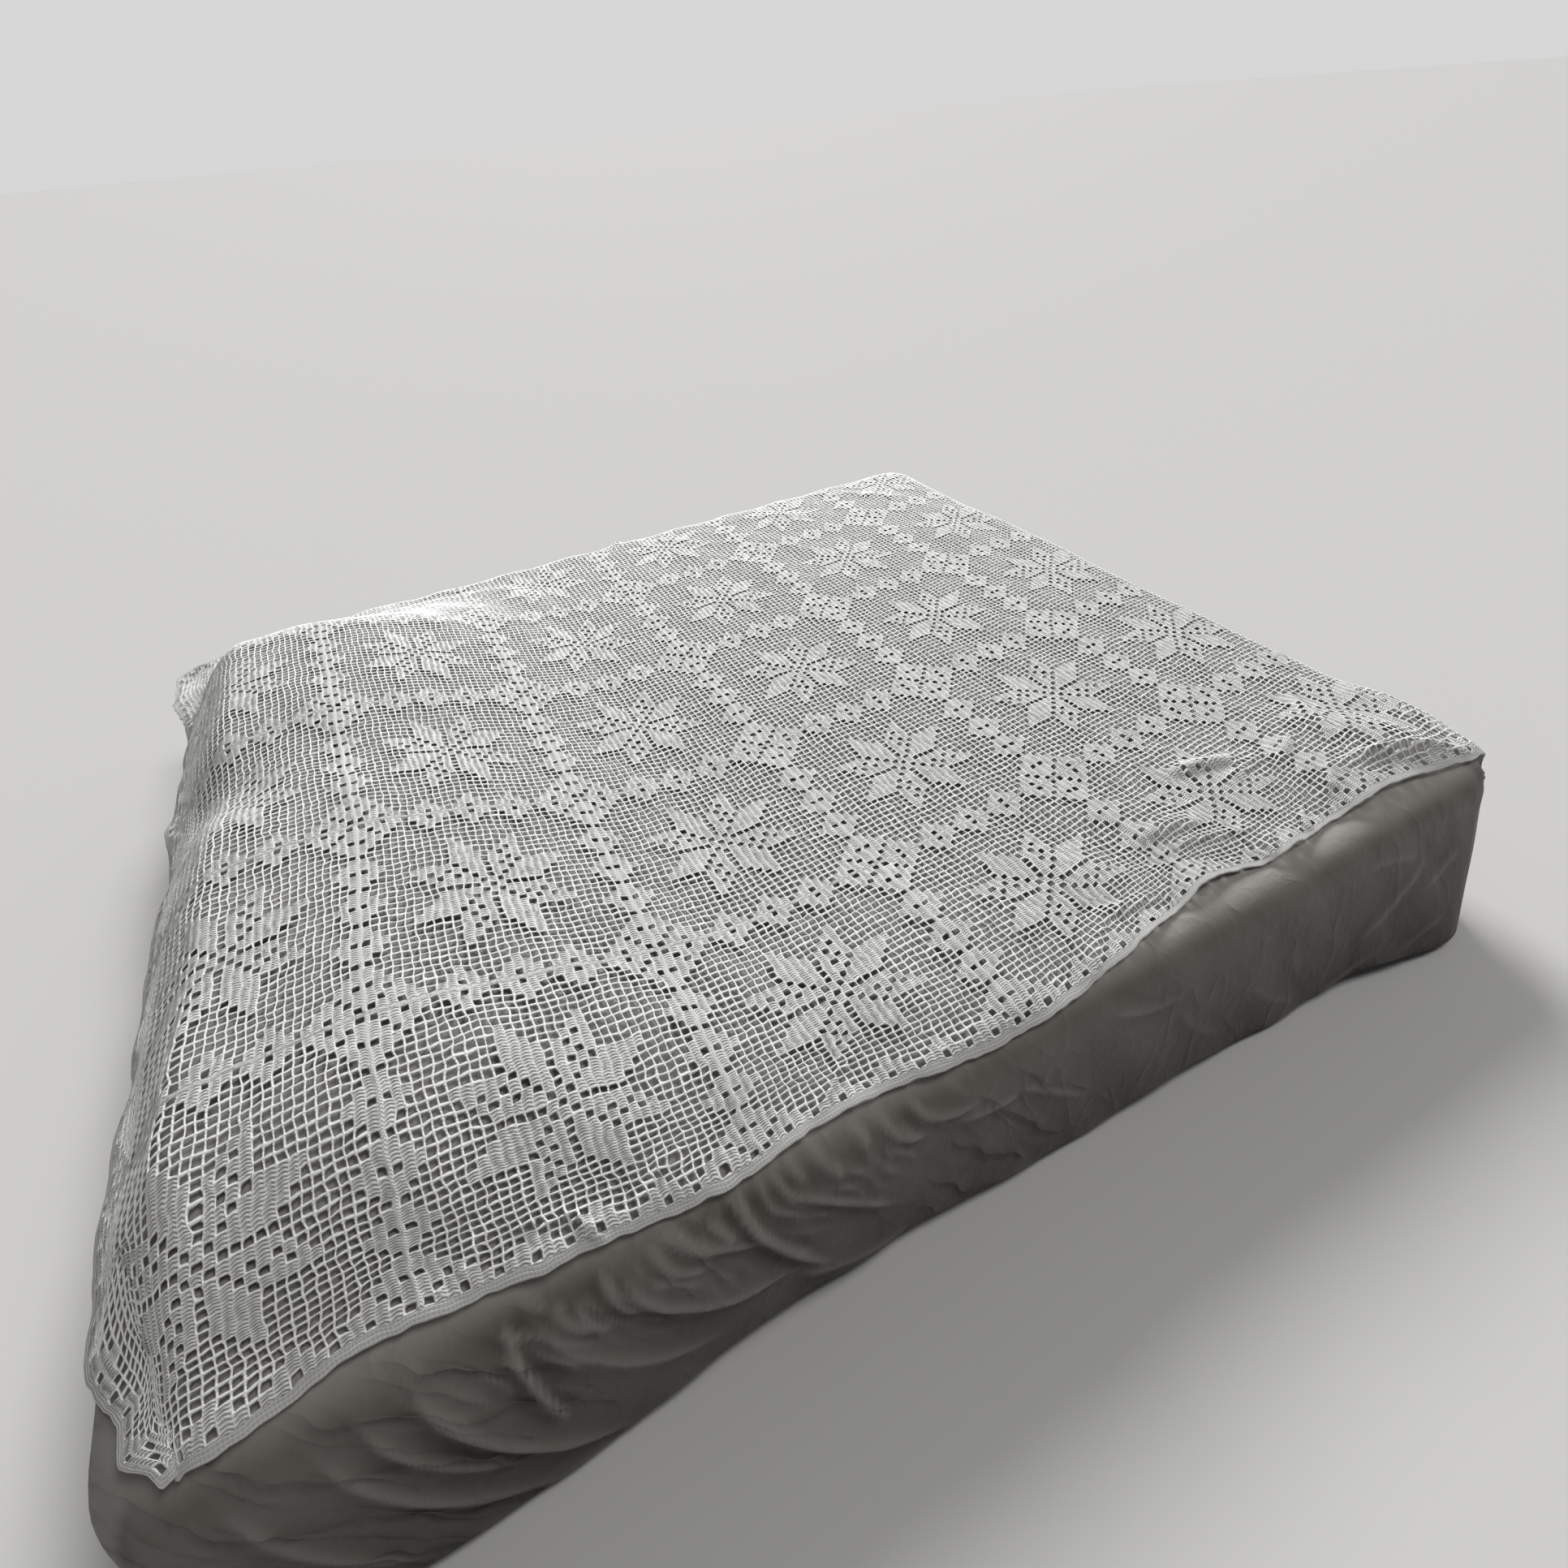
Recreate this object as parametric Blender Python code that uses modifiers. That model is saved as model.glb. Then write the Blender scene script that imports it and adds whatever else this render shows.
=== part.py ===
"""Crochet bedspread lying over a made bed: mattress, two pillows, fitted bed sheet and bedspread.

Metres, +Z up. X runs from the head end (-X) to the foot end (+X), the near long side is -Y.
The origin is the centre of the mattress's flat underside.
"""

import math

import bmesh
import bpy
import numpy as np

COLLECTION = "crochet_bedspread_on_mattress"

# Mattress
MATTRESS_LENGTH = 2.00
MATTRESS_WIDTH = 1.80
MATTRESS_HEIGHT = 0.30
CORNER_RADIUS = 0.09
MATTRESS_EDGE_RADIUS = 0.064
MATTRESS_INSET = 0.0025
MATTRESS_TAPER = 0.026

# Bed sheet
SHEET_THICKNESS = 0.0025
SHEET_GAP = 0.0005
SHEET_EDGE_RADIUS = 0.050
SHEET_HEM_HEIGHT = 0.010

# Pillows under the sheet, at the head end
PILLOW_LENGTH = 0.68
PILLOW_DEPTH = 0.54
PILLOW_CENTRE_X = -0.69
PILLOW_CENTRES_Y = {"pillow_near": -0.40, "pillow_far": 0.39}
PILLOW_RISE = 0.160
PILLOW_SEAM_HEIGHT = 0.030
PILLOW_CLEARANCE = 0.008
PILLOW_CUTS = 7

# Bedspread: squares sewn together, with a plain edging all round
SQUARE = 0.37
SQUARES_LONG = 6
SQUARES_WIDE = 5
EDGING = 0.011
SPREAD_THICKNESS = 0.003
SPREAD_GAP = 0.0048
SPREAD_SOFT_GAP = 0.006
SPREAD_EDGE_RADIUS = 0.060
SPREAD_OUTSET = 0.017
SPREAD_TURN = math.radians(3.2)
SPREAD_SHIFT_Y = 0.023
SETTLE_STEP = 0.01
SETTLE_ROUNDS = 6

HALF_LENGTH = MATTRESS_LENGTH / 2
HALF_WIDTH = MATTRESS_WIDTH / 2
SPREAD_HALF_LENGTH = SQUARES_LONG * SQUARE / 2 + EDGING
SPREAD_HALF_WIDTH = SQUARES_WIDE * SQUARE / 2 + EDGING


def step(start, end, value):
    """Smooth rise from 0 at start to 1 at end."""
    part = np.clip((value - start) / (end - start), 0.0, 1.0)
    return part * part * (3 - 2 * part)


def hump(value, centre, width):
    """Smooth bump of height 1."""
    return np.exp(-(((value - centre) / width) ** 2))


def rise(x, y):
    """How far the made bed stands above the flat mattress: the pillows and two soft lumps."""
    ramp = step(-0.16, -0.78, x) * (1 - 0.72 * step(-0.885, -1.02, x))
    length = step(-1.0, -0.62, y) * step(0.86, 0.50, y)
    dip = 1 - (0.08 + 0.30 * step(-0.75, -1.0, x)) * hump(y, 0.05, 0.12)
    near_lump = 0.016 * hump(x, -0.20, 0.34) * hump(y, -0.76, 0.17) * step(-0.93, -0.80, y)
    foot_lump = 0.022 * hump(x, 0.90, 0.13) * hump(y, -0.76, 0.10) * step(-0.90, -0.80, y)
    return PILLOW_RISE * ramp * length * dip + near_lump + foot_lump


def rise_on_bed(x, y):
    return rise(np.clip(x, -HALF_LENGTH, HALF_LENGTH), np.clip(y, -HALF_WIDTH, HALF_WIDTH))


def foot_bulge(y):
    """How far the covers stand out past the foot end, most at the near corner."""
    return 0.045 * step(0.75, 0.10, y) + 0.045 * step(0.25, -0.85, y)


def edge_reach(beyond, radius, flat, flare):
    """Reach outwards and drop of cloth that lies flat, turns over an edge and hangs."""
    turn = math.pi / 2 - flare
    along = np.maximum(beyond - flat, 0.0)
    angle = np.minimum(along / radius, turn)
    hanging = np.maximum(along - radius * turn, 0.0)
    reach = np.minimum(beyond, flat) + radius * np.sin(angle) + hanging * np.sin(flare)
    drop = radius * (1 - np.cos(angle)) + hanging * np.cos(flare)
    return reach, drop


# ---------------------------------------------------------------- bed sheet

SHEET_FLAT = CORNER_RADIUS - SHEET_EDGE_RADIUS
SHEET_QUARTER = (SHEET_EDGE_RADIUS + SHEET_GAP) * math.pi / 2
# Stations of one side from the hem inwards: the fall, the turned edge, then the flat.
SHEET_SIDE = [SHEET_FLAT + SHEET_QUARTER + fall for fall in (1.0, 0.5)]
SHEET_SIDE += [SHEET_FLAT + SHEET_QUARTER * turn / 3 for turn in (3, 2, 1, 0)] + [0.0]


def sheet_flare(x, y):
    """Outward swing of the sheet's hem: soft puckers, and loose corners."""
    puckers = 0.0065 + 0.003 * np.sin(9.0 * x + 1.0) + 0.003 * np.sin(11.0 * y + 2.0)
    tucked_in = -0.024 * hump(x, -0.15, 0.45) * step(-0.80, -0.88, y)
    loose_corner = 0.030 * hump(x, 0.93, 0.16) * hump(y, -0.90, 0.10)
    other_corners = 0.015 * hump(np.abs(x), 1.0, 0.15) * hump(np.abs(y), 0.9, 0.15)
    return puckers + tucked_in + loose_corner + other_corners


def corner_bearing(rank_x, rank_y):
    """Direction of a rounded corner's point from its two ranks, counted outwards from the flat."""
    larger = np.maximum(np.maximum(rank_x, rank_y), 1)
    eighth = math.pi / 4 * np.minimum(rank_x, rank_y) / larger
    return np.where(rank_x >= rank_y, eighth, math.pi / 2 - eighth)


def sheet_point(along, across):
    """Bed sheet point. Beyond the turned edge, a station is a fraction of the side's fall."""
    inner_x, inner_y = HALF_LENGTH - CORNER_RADIUS, HALF_WIDTH - CORNER_RADIUS
    outward = np.array(SHEET_SIDE[::-1])
    beyond_x = np.maximum(np.abs(along) - inner_x, 0.0)
    beyond_y = np.maximum(np.abs(across) - inner_y, 0.0)
    beyond = np.maximum(beyond_x, beyond_y)
    rank_x = np.searchsorted(outward, beyond_x - 1e-6)
    rank_y = np.searchsorted(outward, beyond_y - 1e-6)
    bearing = corner_bearing(rank_x, rank_y)
    turned = np.minimum(beyond, SHEET_FLAT + SHEET_QUARTER)
    reach, drop = edge_reach(turned, SHEET_EDGE_RADIUS + SHEET_GAP, SHEET_FLAT, 0.0)
    fall = np.clip(beyond - SHEET_FLAT - SHEET_QUARTER, 0.0, 1.0)
    base_x = np.sign(along) * np.minimum(np.abs(along), inner_x)
    base_y = np.sign(across) * np.minimum(np.abs(across), inner_y)
    x = base_x + np.sign(along) * reach * np.cos(bearing)
    y = base_y + np.sign(across) * reach * np.sin(bearing)
    x = x + foot_bulge(y) * step(0.72, 0.93, x) * (1 - 0.84 * fall)
    top = MATTRESS_HEIGHT + SHEET_GAP + rise_on_bed(x, y) - drop
    swing = sheet_flare(x, y) * fall
    x = x + np.sign(along) * swing * np.cos(bearing)
    y = y + np.sign(across) * swing * np.sin(bearing)
    z = top + (SHEET_HEM_HEIGHT - top) * fall
    return np.stack([x, y, z], axis=-1)


def sheet_stations(half, middle):
    """Stations from side to side of the sheet."""
    inner = half - CORNER_RADIUS
    outer = [inner + beyond for beyond in SHEET_SIDE]
    return [-value for value in outer] + list(middle) + outer[::-1]


# ---------------------------------------------------------------- bedspread


def spread_flare(x, y):
    """Angle from the vertical at which the bedspread's overhang swings out."""
    head = 0.10 + 0.50 * hump(y, -0.66, 0.12) + 0.80 * hump(y, 0.15, 0.05)
    head = head + 0.07 * np.sin(22.0 * y) + 1.00 * step(0.20, 0.80, y)
    foot = 0.10 + 0.10 * np.sin(17.0 * y + 1.0) + 0.06 * np.sin(31.0 * y)
    far = 0.10 + 0.10 * np.sin(15.0 * x + 2.0)
    near = 0.06 + 0.06 * np.sin(19.0 * x)
    flare = 0.10 + head * step(-0.80, -1.0, x) + foot * step(0.80, 1.0, x)
    flare = flare + far * step(0.70, 0.90, y) + near * step(-0.70, -0.90, y)
    return np.clip(flare, 0.05, 1.30)


def spread_laid(along, across):
    """Where each point of the flat bedspread is laid: turned a little, drawn in and uneven."""
    near_draw = 0.046 + 0.021 * hump(along, -0.78, 0.09) - 0.030 * hump(along, 0.04, 0.16)
    near_draw = near_draw - 0.018 * step(0.40, 0.52, along) - 0.012 * step(0.64, 0.74, along)
    near_draw = near_draw - 0.035 * step(0.80, 1.00, along) + 0.032 * step(-0.95, -1.12, along)
    drawn_in = near_draw * step(-0.74, -0.95, across)
    ripple = 0.004 * step(-0.70, -0.95, across) * np.sin(19.0 * along + 0.5)
    pulled = -0.026 * hump(along, 0.30, 0.60) * hump(across, -0.40, 0.45)
    head_gather = 0.022 * step(-0.45, -0.90, along) * step(-0.75, -0.35, across)
    head_gather = head_gather - 0.024 * hump(along, -0.72, 0.22) * hump(across, -0.50, 0.22)
    head_gather = head_gather + 0.035 * step(-0.90, -1.12, along) * step(0.35, 0.85, across)
    corner_pleat = 0.118 * step(-0.62, -0.83, across) + 0.032 * step(-0.88, -0.93, across)
    corner_pleat = corner_pleat * step(-0.93, -1.13, along)
    near_shift = 0.018 * hump(along, 0.30, 0.35) * hump(across, -0.85, 0.30)
    u = along + head_gather + corner_pleat + near_shift
    v = across + drawn_in + ripple + pulled
    cosine, sine = math.cos(SPREAD_TURN), math.sin(SPREAD_TURN)
    return cosine * u - sine * v, sine * u + cosine * v + SPREAD_SHIFT_Y


def settled_table():
    """Laid positions at a fine spacing, drawn in by the length that climbing the pillows takes."""
    along = np.arange(-SPREAD_HALF_LENGTH, SPREAD_HALF_LENGTH + SETTLE_STEP / 2, SETTLE_STEP)
    across = np.arange(-SPREAD_HALF_WIDTH, SPREAD_HALF_WIDTH + SETTLE_STEP / 2, SETTLE_STEP)
    laid_x, laid_y = spread_laid(*np.meshgrid(along, across))
    x, y = laid_x.copy(), laid_y.copy()
    still_column = int(np.argmin(np.abs(along - 0.45)))
    still_row = int(np.argmin(np.abs(across)))
    for _ in range(SETTLE_ROUNDS):
        height = rise_on_bed(x, y)
        level_x = np.sqrt(np.clip(1 - (np.diff(height, axis=1) / SETTLE_STEP) ** 2, 0.1, 1.0))
        level_y = np.sqrt(np.clip(1 - (np.diff(height, axis=0) / SETTLE_STEP) ** 2, 0.1, 1.0))
        run = np.zeros_like(x)
        run[:, 1:] = np.cumsum(np.diff(laid_x, axis=1) * level_x, axis=1)
        x = laid_x[:, [still_column]] + run - run[:, [still_column]]
        run = np.zeros_like(y)
        run[1:, :] = np.cumsum(np.diff(laid_y, axis=0) * level_y, axis=0)
        y = laid_y[[still_row], :] + run - run[[still_row], :]
    return x, y


def read_table(table, along, across):
    """Value between the table's entries."""
    rows, columns = table.shape
    a = np.clip((along + SPREAD_HALF_LENGTH) / SETTLE_STEP, 0, columns - 1.001)
    b = np.clip((across + SPREAD_HALF_WIDTH) / SETTLE_STEP, 0, rows - 1.001)
    i, j = a.astype(int), b.astype(int)
    u, v = a - i, b - j
    low = table[j, i] * (1 - u) + table[j, i + 1] * u
    high = table[j + 1, i] * (1 - u) + table[j + 1, i + 1] * u
    return low * (1 - v) + high * v


def spread_point(along, across, tables):
    """Bedspread point, on the side that faces the bed."""
    laid_x = read_table(tables[0], along, across)
    laid_y = read_table(tables[1], along, across)
    inner_x = HALF_LENGTH + SPREAD_OUTSET - CORNER_RADIUS
    inner_x = inner_x + foot_bulge(laid_y) * (laid_x > 0)
    inner_y = HALF_WIDTH + SPREAD_OUTSET - CORNER_RADIUS
    beyond_x = np.maximum(np.abs(laid_x) - inner_x, 0.0)
    beyond_y = np.maximum(np.abs(laid_y) - inner_y, 0.0)
    bearing = np.arctan2(beyond_y, beyond_x)
    reach, drop = edge_reach(
        np.hypot(beyond_x, beyond_y),
        SPREAD_EDGE_RADIUS,
        CORNER_RADIUS - SPREAD_EDGE_RADIUS,
        spread_flare(laid_x, laid_y),
    )
    x = np.sign(laid_x) * (np.minimum(np.abs(laid_x), inner_x) + reach * np.cos(bearing))
    y = np.sign(laid_y) * (np.minimum(np.abs(laid_y), inner_y) + reach * np.sin(bearing))
    height = rise_on_bed(x, y)
    gap = SPREAD_GAP + SPREAD_SOFT_GAP * step(0.0, 0.005, height)
    return np.stack([x, y, MATTRESS_HEIGHT + gap + height - drop], axis=-1)


def spread_stations(half, fine_start, coarse_count, fine_end):
    """Stations from end to end: closely spaced where the cloth bends, wider between."""
    first = np.linspace(-half, -half + fine_start[0], fine_start[1] + 1)
    last = np.linspace(half - fine_end[0], half, fine_end[1] + 1)
    middle = np.linspace(first[-1], last[0], coarse_count + 1)[1:-1]
    return np.concatenate([first, middle, last])


# ---------------------------------------------------------------- objects


def new_collection():
    collection = bpy.data.collections.new(COLLECTION)
    bpy.context.scene.collection.children.link(collection)
    return collection


def material(name, colour, roughness):
    made = bpy.data.materials.new(name)
    made.use_nodes = True
    shader = made.node_tree.nodes["Principled BSDF"]
    shader.inputs["Base Color"].default_value = (*colour, 1.0)
    shader.inputs["Roughness"].default_value = roughness
    shader.inputs["Metallic"].default_value = 0.0
    made.diffuse_color = (*colour, 1.0)
    return made


def add_object(name, mesh_builder, collection, surface):
    mesh = bpy.data.meshes.new(name)
    mesh_builder.to_mesh(mesh)
    mesh_builder.free()
    mesh.shade_smooth()
    made = bpy.data.objects.new(name, mesh)
    made.data.materials.append(surface)
    collection.objects.link(made)
    return made


def shaped_grid(columns, rows, place):
    """A grid whose lines stand at the given stations, moved to the shape of the cloth."""
    builder = bmesh.new()
    bmesh.ops.create_grid(
        builder, x_segments=len(columns) - 1, y_segments=len(rows) - 1, size=0.5
    )
    builder.verts.ensure_lookup_table()
    grid = np.array([vertex.co for vertex in builder.verts], dtype=float)
    column = np.rint((grid[:, 0] + 0.5) * (len(columns) - 1)).astype(int)
    row = np.rint((grid[:, 1] + 0.5) * (len(rows) - 1)).astype(int)
    points = place(np.asarray(columns)[column], np.asarray(rows)[row])
    for vertex, point in zip(builder.verts, points):
        vertex.co = point
    return builder


def solidify(cloth, thickness):
    modifier = cloth.modifiers.new("Thickness", "SOLIDIFY")
    modifier.thickness = thickness
    modifier.offset = 1.0
    modifier.use_even_offset = False


def build_mattress(collection):
    """Plain block with rounded upright corners and top edges, a little narrower at the foot of
    its long sides."""
    length = MATTRESS_LENGTH - 2 * MATTRESS_INSET
    width = MATTRESS_WIDTH - 2 * MATTRESS_INSET
    builder = bmesh.new()
    bmesh.ops.create_cube(builder, size=1.0)
    bmesh.ops.scale(builder, vec=(length, width, MATTRESS_HEIGHT), verts=builder.verts)
    bmesh.ops.translate(builder, vec=(0, 0, MATTRESS_HEIGHT / 2), verts=builder.verts)
    for vertex in builder.verts:
        if vertex.co.z < MATTRESS_HEIGHT / 2:
            vertex.co.y *= 1 - 2 * MATTRESS_TAPER / width
    upright = [e for e in builder.edges if abs(e.verts[0].co.z - e.verts[1].co.z) > 0.1]
    bmesh.ops.bevel(
        builder, geom=upright, offset=CORNER_RADIUS, segments=6, profile=0.5, affect="EDGES"
    )
    for level, radius, segments in (
        (MATTRESS_HEIGHT, MATTRESS_EDGE_RADIUS, 4),
        (0.0, 0.015, 2),
    ):
        rim = [e for e in builder.edges if all(abs(v.co.z - level) < 1e-5 for v in e.verts)]
        bmesh.ops.bevel(
            builder, geom=rim, offset=radius, segments=segments, profile=0.5, affect="EDGES"
        )
    surface = material("mattress_ticking", (0.26, 0.25, 0.235), 0.9)
    return add_object("mattress", builder, collection, surface)


def build_pillow(name, centre_y, collection, surface):
    """Filled pillow lying on the mattress, crowned as far as the sheet above it."""
    builder = bmesh.new()
    bmesh.ops.create_cube(builder, size=2.0)
    bmesh.ops.subdivide_edges(builder, edges=builder.edges[:], cuts=PILLOW_CUTS, use_grid_fill=True)
    cube = np.array([vertex.co for vertex in builder.verts], dtype=float)
    outer = (np.abs(cube) ** 4).sum(axis=1) ** 0.25
    unit = cube / outer[:, None]
    x = PILLOW_CENTRE_X + unit[:, 0] * PILLOW_DEPTH / 2
    y = centre_y + unit[:, 1] * PILLOW_LENGTH / 2
    crown = rise(x, y) - PILLOW_CLEARANCE
    above = np.clip(unit[:, 2], 0, 1) * (crown - PILLOW_SEAM_HEIGHT)
    below = np.clip(unit[:, 2], -1, 0) * (PILLOW_SEAM_HEIGHT - SHEET_GAP)
    z = MATTRESS_HEIGHT + PILLOW_SEAM_HEIGHT + above + below
    for vertex, point in zip(builder.verts, np.stack([x, y, z], axis=-1)):
        vertex.co = point
    return add_object(name, builder, collection, surface)


def build_sheet(collection):
    """Grey bed sheet over the mattress and pillows, down to a hem just above the floor."""
    over_pillows = np.linspace(-0.86, -0.12, 14)
    columns = sheet_stations(HALF_LENGTH, [*over_pillows, 0.1, 0.4, 0.62, 0.74, 0.83])
    rows = sheet_stations(HALF_WIDTH, np.linspace(-0.75, 0.75, 26))
    builder = shaped_grid(columns, rows, sheet_point)
    surface = material("grey_bed_sheet", (0.13, 0.125, 0.115), 0.9)
    sheet = add_object("bed_sheet", builder, collection, surface)
    solidify(sheet, SHEET_THICKNESS)
    return sheet


def build_spread(collection):
    """Bedspread laid over the sheet and pillows, hanging a little at three sides."""
    tables = settled_table()
    columns = spread_stations(SPREAD_HALF_LENGTH, (0.42, 13), 13, (0.28, 9))
    rows = spread_stations(SPREAD_HALF_WIDTH, (0.30, 10), 18, (0.25, 8))
    builder = shaped_grid(columns, rows, lambda a, b: spread_point(a, b, tables))
    surface = material("crochet_cotton", (0.60, 0.60, 0.58), 0.85)
    spread = add_object("crochet_bedspread", builder, collection, surface)
    solidify(spread, SPREAD_THICKNESS)
    return spread


def main():
    for existing in list(bpy.data.objects):
        bpy.data.objects.remove(existing, do_unlink=True)
    collection = new_collection()
    build_mattress(collection)
    pillow_case = material("grey_pillow_case", (0.15, 0.145, 0.135), 0.9)
    for name, centre_y in PILLOW_CENTRES_Y.items():
        build_pillow(name, centre_y, collection, pillow_case)
    build_sheet(collection)
    build_spread(collection)


main()
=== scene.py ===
"""Looks for a crochet bedspread lying over a made bed.

Metres, +Z up. X runs from the head end (-X) to the foot end (+X), the near long side is -Y.
Flat cloth positions are "along" (X) and "across" (Y) before the bedspread is laid on the bed.
"""

import math
from functools import partialmethod

import bmesh
import bpy
import numpy as np
from mathutils import Matrix, Vector


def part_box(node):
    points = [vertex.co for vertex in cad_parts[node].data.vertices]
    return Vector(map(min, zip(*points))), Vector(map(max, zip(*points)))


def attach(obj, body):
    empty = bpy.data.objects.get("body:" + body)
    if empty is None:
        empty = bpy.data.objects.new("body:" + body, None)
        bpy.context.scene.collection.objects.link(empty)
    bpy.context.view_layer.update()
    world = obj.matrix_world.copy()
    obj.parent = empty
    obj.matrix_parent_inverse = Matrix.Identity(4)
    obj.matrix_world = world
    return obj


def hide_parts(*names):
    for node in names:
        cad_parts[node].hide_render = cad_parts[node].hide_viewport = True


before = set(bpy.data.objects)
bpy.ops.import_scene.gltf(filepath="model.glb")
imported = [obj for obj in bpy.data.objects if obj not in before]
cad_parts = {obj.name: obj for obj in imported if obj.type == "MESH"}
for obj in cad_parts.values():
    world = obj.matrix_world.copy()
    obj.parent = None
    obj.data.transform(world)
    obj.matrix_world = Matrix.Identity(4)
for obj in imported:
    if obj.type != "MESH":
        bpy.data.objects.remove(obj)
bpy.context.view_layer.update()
BODY = "root"

# Mattress and bed sheet, as in the solid model
MATTRESS_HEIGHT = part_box("mattress")[1].z
HALF_LENGTH = 1.00
HALF_WIDTH = 0.90
CORNER_RADIUS = 0.09
MATTRESS_TAPER = 0.026
SHEET_EDGE_RADIUS = 0.050
SHEET_GAP = 0.0005
SHEET_THICKNESS = 0.0025
HEM_HEIGHT = 0.012
PILLOW_RISE = 0.160

# Bedspread: squares of filet crochet worked together, with a plain edging all round
SQUARE = 0.37
SQUARES_LONG = 6
SQUARES_WIDE = 5
EDGING = 0.011
SPREAD_GAP = 0.0057
SPREAD_SOFT_GAP = 0.006
SPREAD_EDGE_RADIUS = 0.060
SPREAD_OUTSET = 0.017
SPREAD_TURN = math.radians(3.2)
SPREAD_SHIFT_Y = 0.023
# Spacing of the tables that lay it, and where along its middle it stays as it is laid
SETTLE_STEP, DRAPE_STEP = 0.01, 0.005
SETTLE_ROUNDS = 6
STILL_ALONG = 0.45
SPREAD_HALF_LENGTH = SQUARES_LONG * SQUARE / 2 + EDGING
SPREAD_HALF_WIDTH = SQUARES_WIDE * SQUARE / 2 + EDGING

# Filet crochet: each square is a chart of cells, and a raised seam joins one square to the next
HALF_CELLS = 15
CELLS = 2 * HALF_CELLS + 1
SEAM_CELLS = 0.36
CELL = SQUARE / (CELLS + SEAM_CELLS)
YARN_TOP = 0.0017
YARN_BACK = -0.0007
SLIT_DEPTH = 0.0002
SEAM_TOP = 0.0021
SEAM_SIDE = 0.0009
# How far posts wave and how much the holes lean, in cells
POST_WAVE, HOLE_LEAN = -0.090, 0.16
# The edging's rounds, their height, how far they lap the squares, and how much narrower they are
# than in the solid model
EDGING_ROUNDS = 3
EDGING_TOP = 0.0016
EDGING_LAP = 0.0006
EDGING_SHORT = 0.002
# A few stretched holes of the near strip: the square, and the cell of its chart along and across
STRETCHED = ((0, 15, 19), (1, 23, 4), (1, 27, 0))
STRETCH, STRETCH_WIDTH = 0.55, 1.1 * CELL

# Corners of a rectangle seen from above, counterclockwise
CORNERS = ((1, -1), (1, 1), (-1, 1), (-1, -1))

rng = np.random.default_rng(20)


# ---- shapes of the made bed


def step(start, end, value):
    """Smooth rise from 0 at start to 1 at end."""
    part = np.clip((value - start) / (end - start), 0.0, 1.0)
    return part * part * (3 - 2 * part)


def hump(value, centre, width):
    """Smooth bump of height 1."""
    return np.exp(-(((value - centre) / width) ** 2))


def rise(x, y):
    """How far the made bed stands above the flat mattress: the pillows and two soft lumps."""
    ramp = step(-0.16, -0.78, x) * (1 - 0.72 * step(-0.885, -1.02, x))
    length = step(-1.0, -0.62, y) * step(0.86, 0.50, y)
    dip = 1 - (0.08 + 0.30 * step(-0.75, -1.0, x)) * hump(y, 0.05, 0.12)
    near_lump = 0.016 * hump(x, -0.20, 0.34) * hump(y, -0.76, 0.17) * step(-0.93, -0.80, y)
    foot_lump = 0.022 * hump(x, 0.90, 0.13) * hump(y, -0.76, 0.10) * step(-0.90, -0.80, y)
    return PILLOW_RISE * ramp * length * dip + near_lump + foot_lump


def rise_on_bed(x, y):
    return rise(np.clip(x, -HALF_LENGTH, HALF_LENGTH), np.clip(y, -HALF_WIDTH, HALF_WIDTH))


def foot_bulge(y):
    """How far the covers stand out past the foot end, most at the near corner."""
    return 0.045 * step(0.75, 0.10, y) + 0.045 * step(0.25, -0.85, y)


def edge_reach(beyond, radius, flat, flare):
    """Reach outwards and drop of cloth that lies flat, turns over an edge and hangs."""
    turn = math.pi / 2 - flare
    along = np.maximum(beyond - flat, 0.0)
    angle = np.minimum(along / radius, turn)
    hanging = np.maximum(along - radius * turn, 0.0)
    reach = np.minimum(beyond, flat) + radius * np.sin(angle) + hanging * np.sin(flare)
    drop = radius * (1 - np.cos(angle)) + hanging * np.cos(flare)
    return reach, drop


def line_frame(x, y, x0, y0, x1, y1):
    """Share of the way along a line from x0, y0, the distance to its left, and its length."""
    length = math.hypot(x1 - x0, y1 - y0)
    unit_x, unit_y = (x1 - x0) / length, (y1 - y0) / length
    share = ((x - x0) * unit_x + (y - y0) * unit_y) / length
    return share, (y - y0) * unit_x - (x - x0) * unit_y, length


def crease(x, y, line, width, height):
    """A raised crease along a line, fading out at both ends, with a softer side."""
    share, side, length = line_frame(x, y, *line)
    side = side + 0.12 * length * (share - 0.5) ** 2
    wide = np.where(side > 0, width, 0.55 * width)
    fade = step(-0.02, 0.35, share) * step(1.02, 0.6, share)
    return height * fade * np.exp(-((side / wide) ** 2))


def smooth_noise(x, y, size, seed):
    """Cheap smooth noise of about +-1 with features of the given size."""
    draws = np.random.default_rng(seed)
    total = np.zeros_like(x)
    for _ in range(6):
        angle, phase, scale = draws.uniform(0, math.tau, 2).tolist() + [draws.uniform(0.7, 1.5)]
        wave = (x * math.cos(angle) + y * math.sin(angle)) * math.tau / (size * scale)
        total = total + np.sin(wave + phase)
    return total / 3.0


# ---- laying the bedspread


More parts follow.
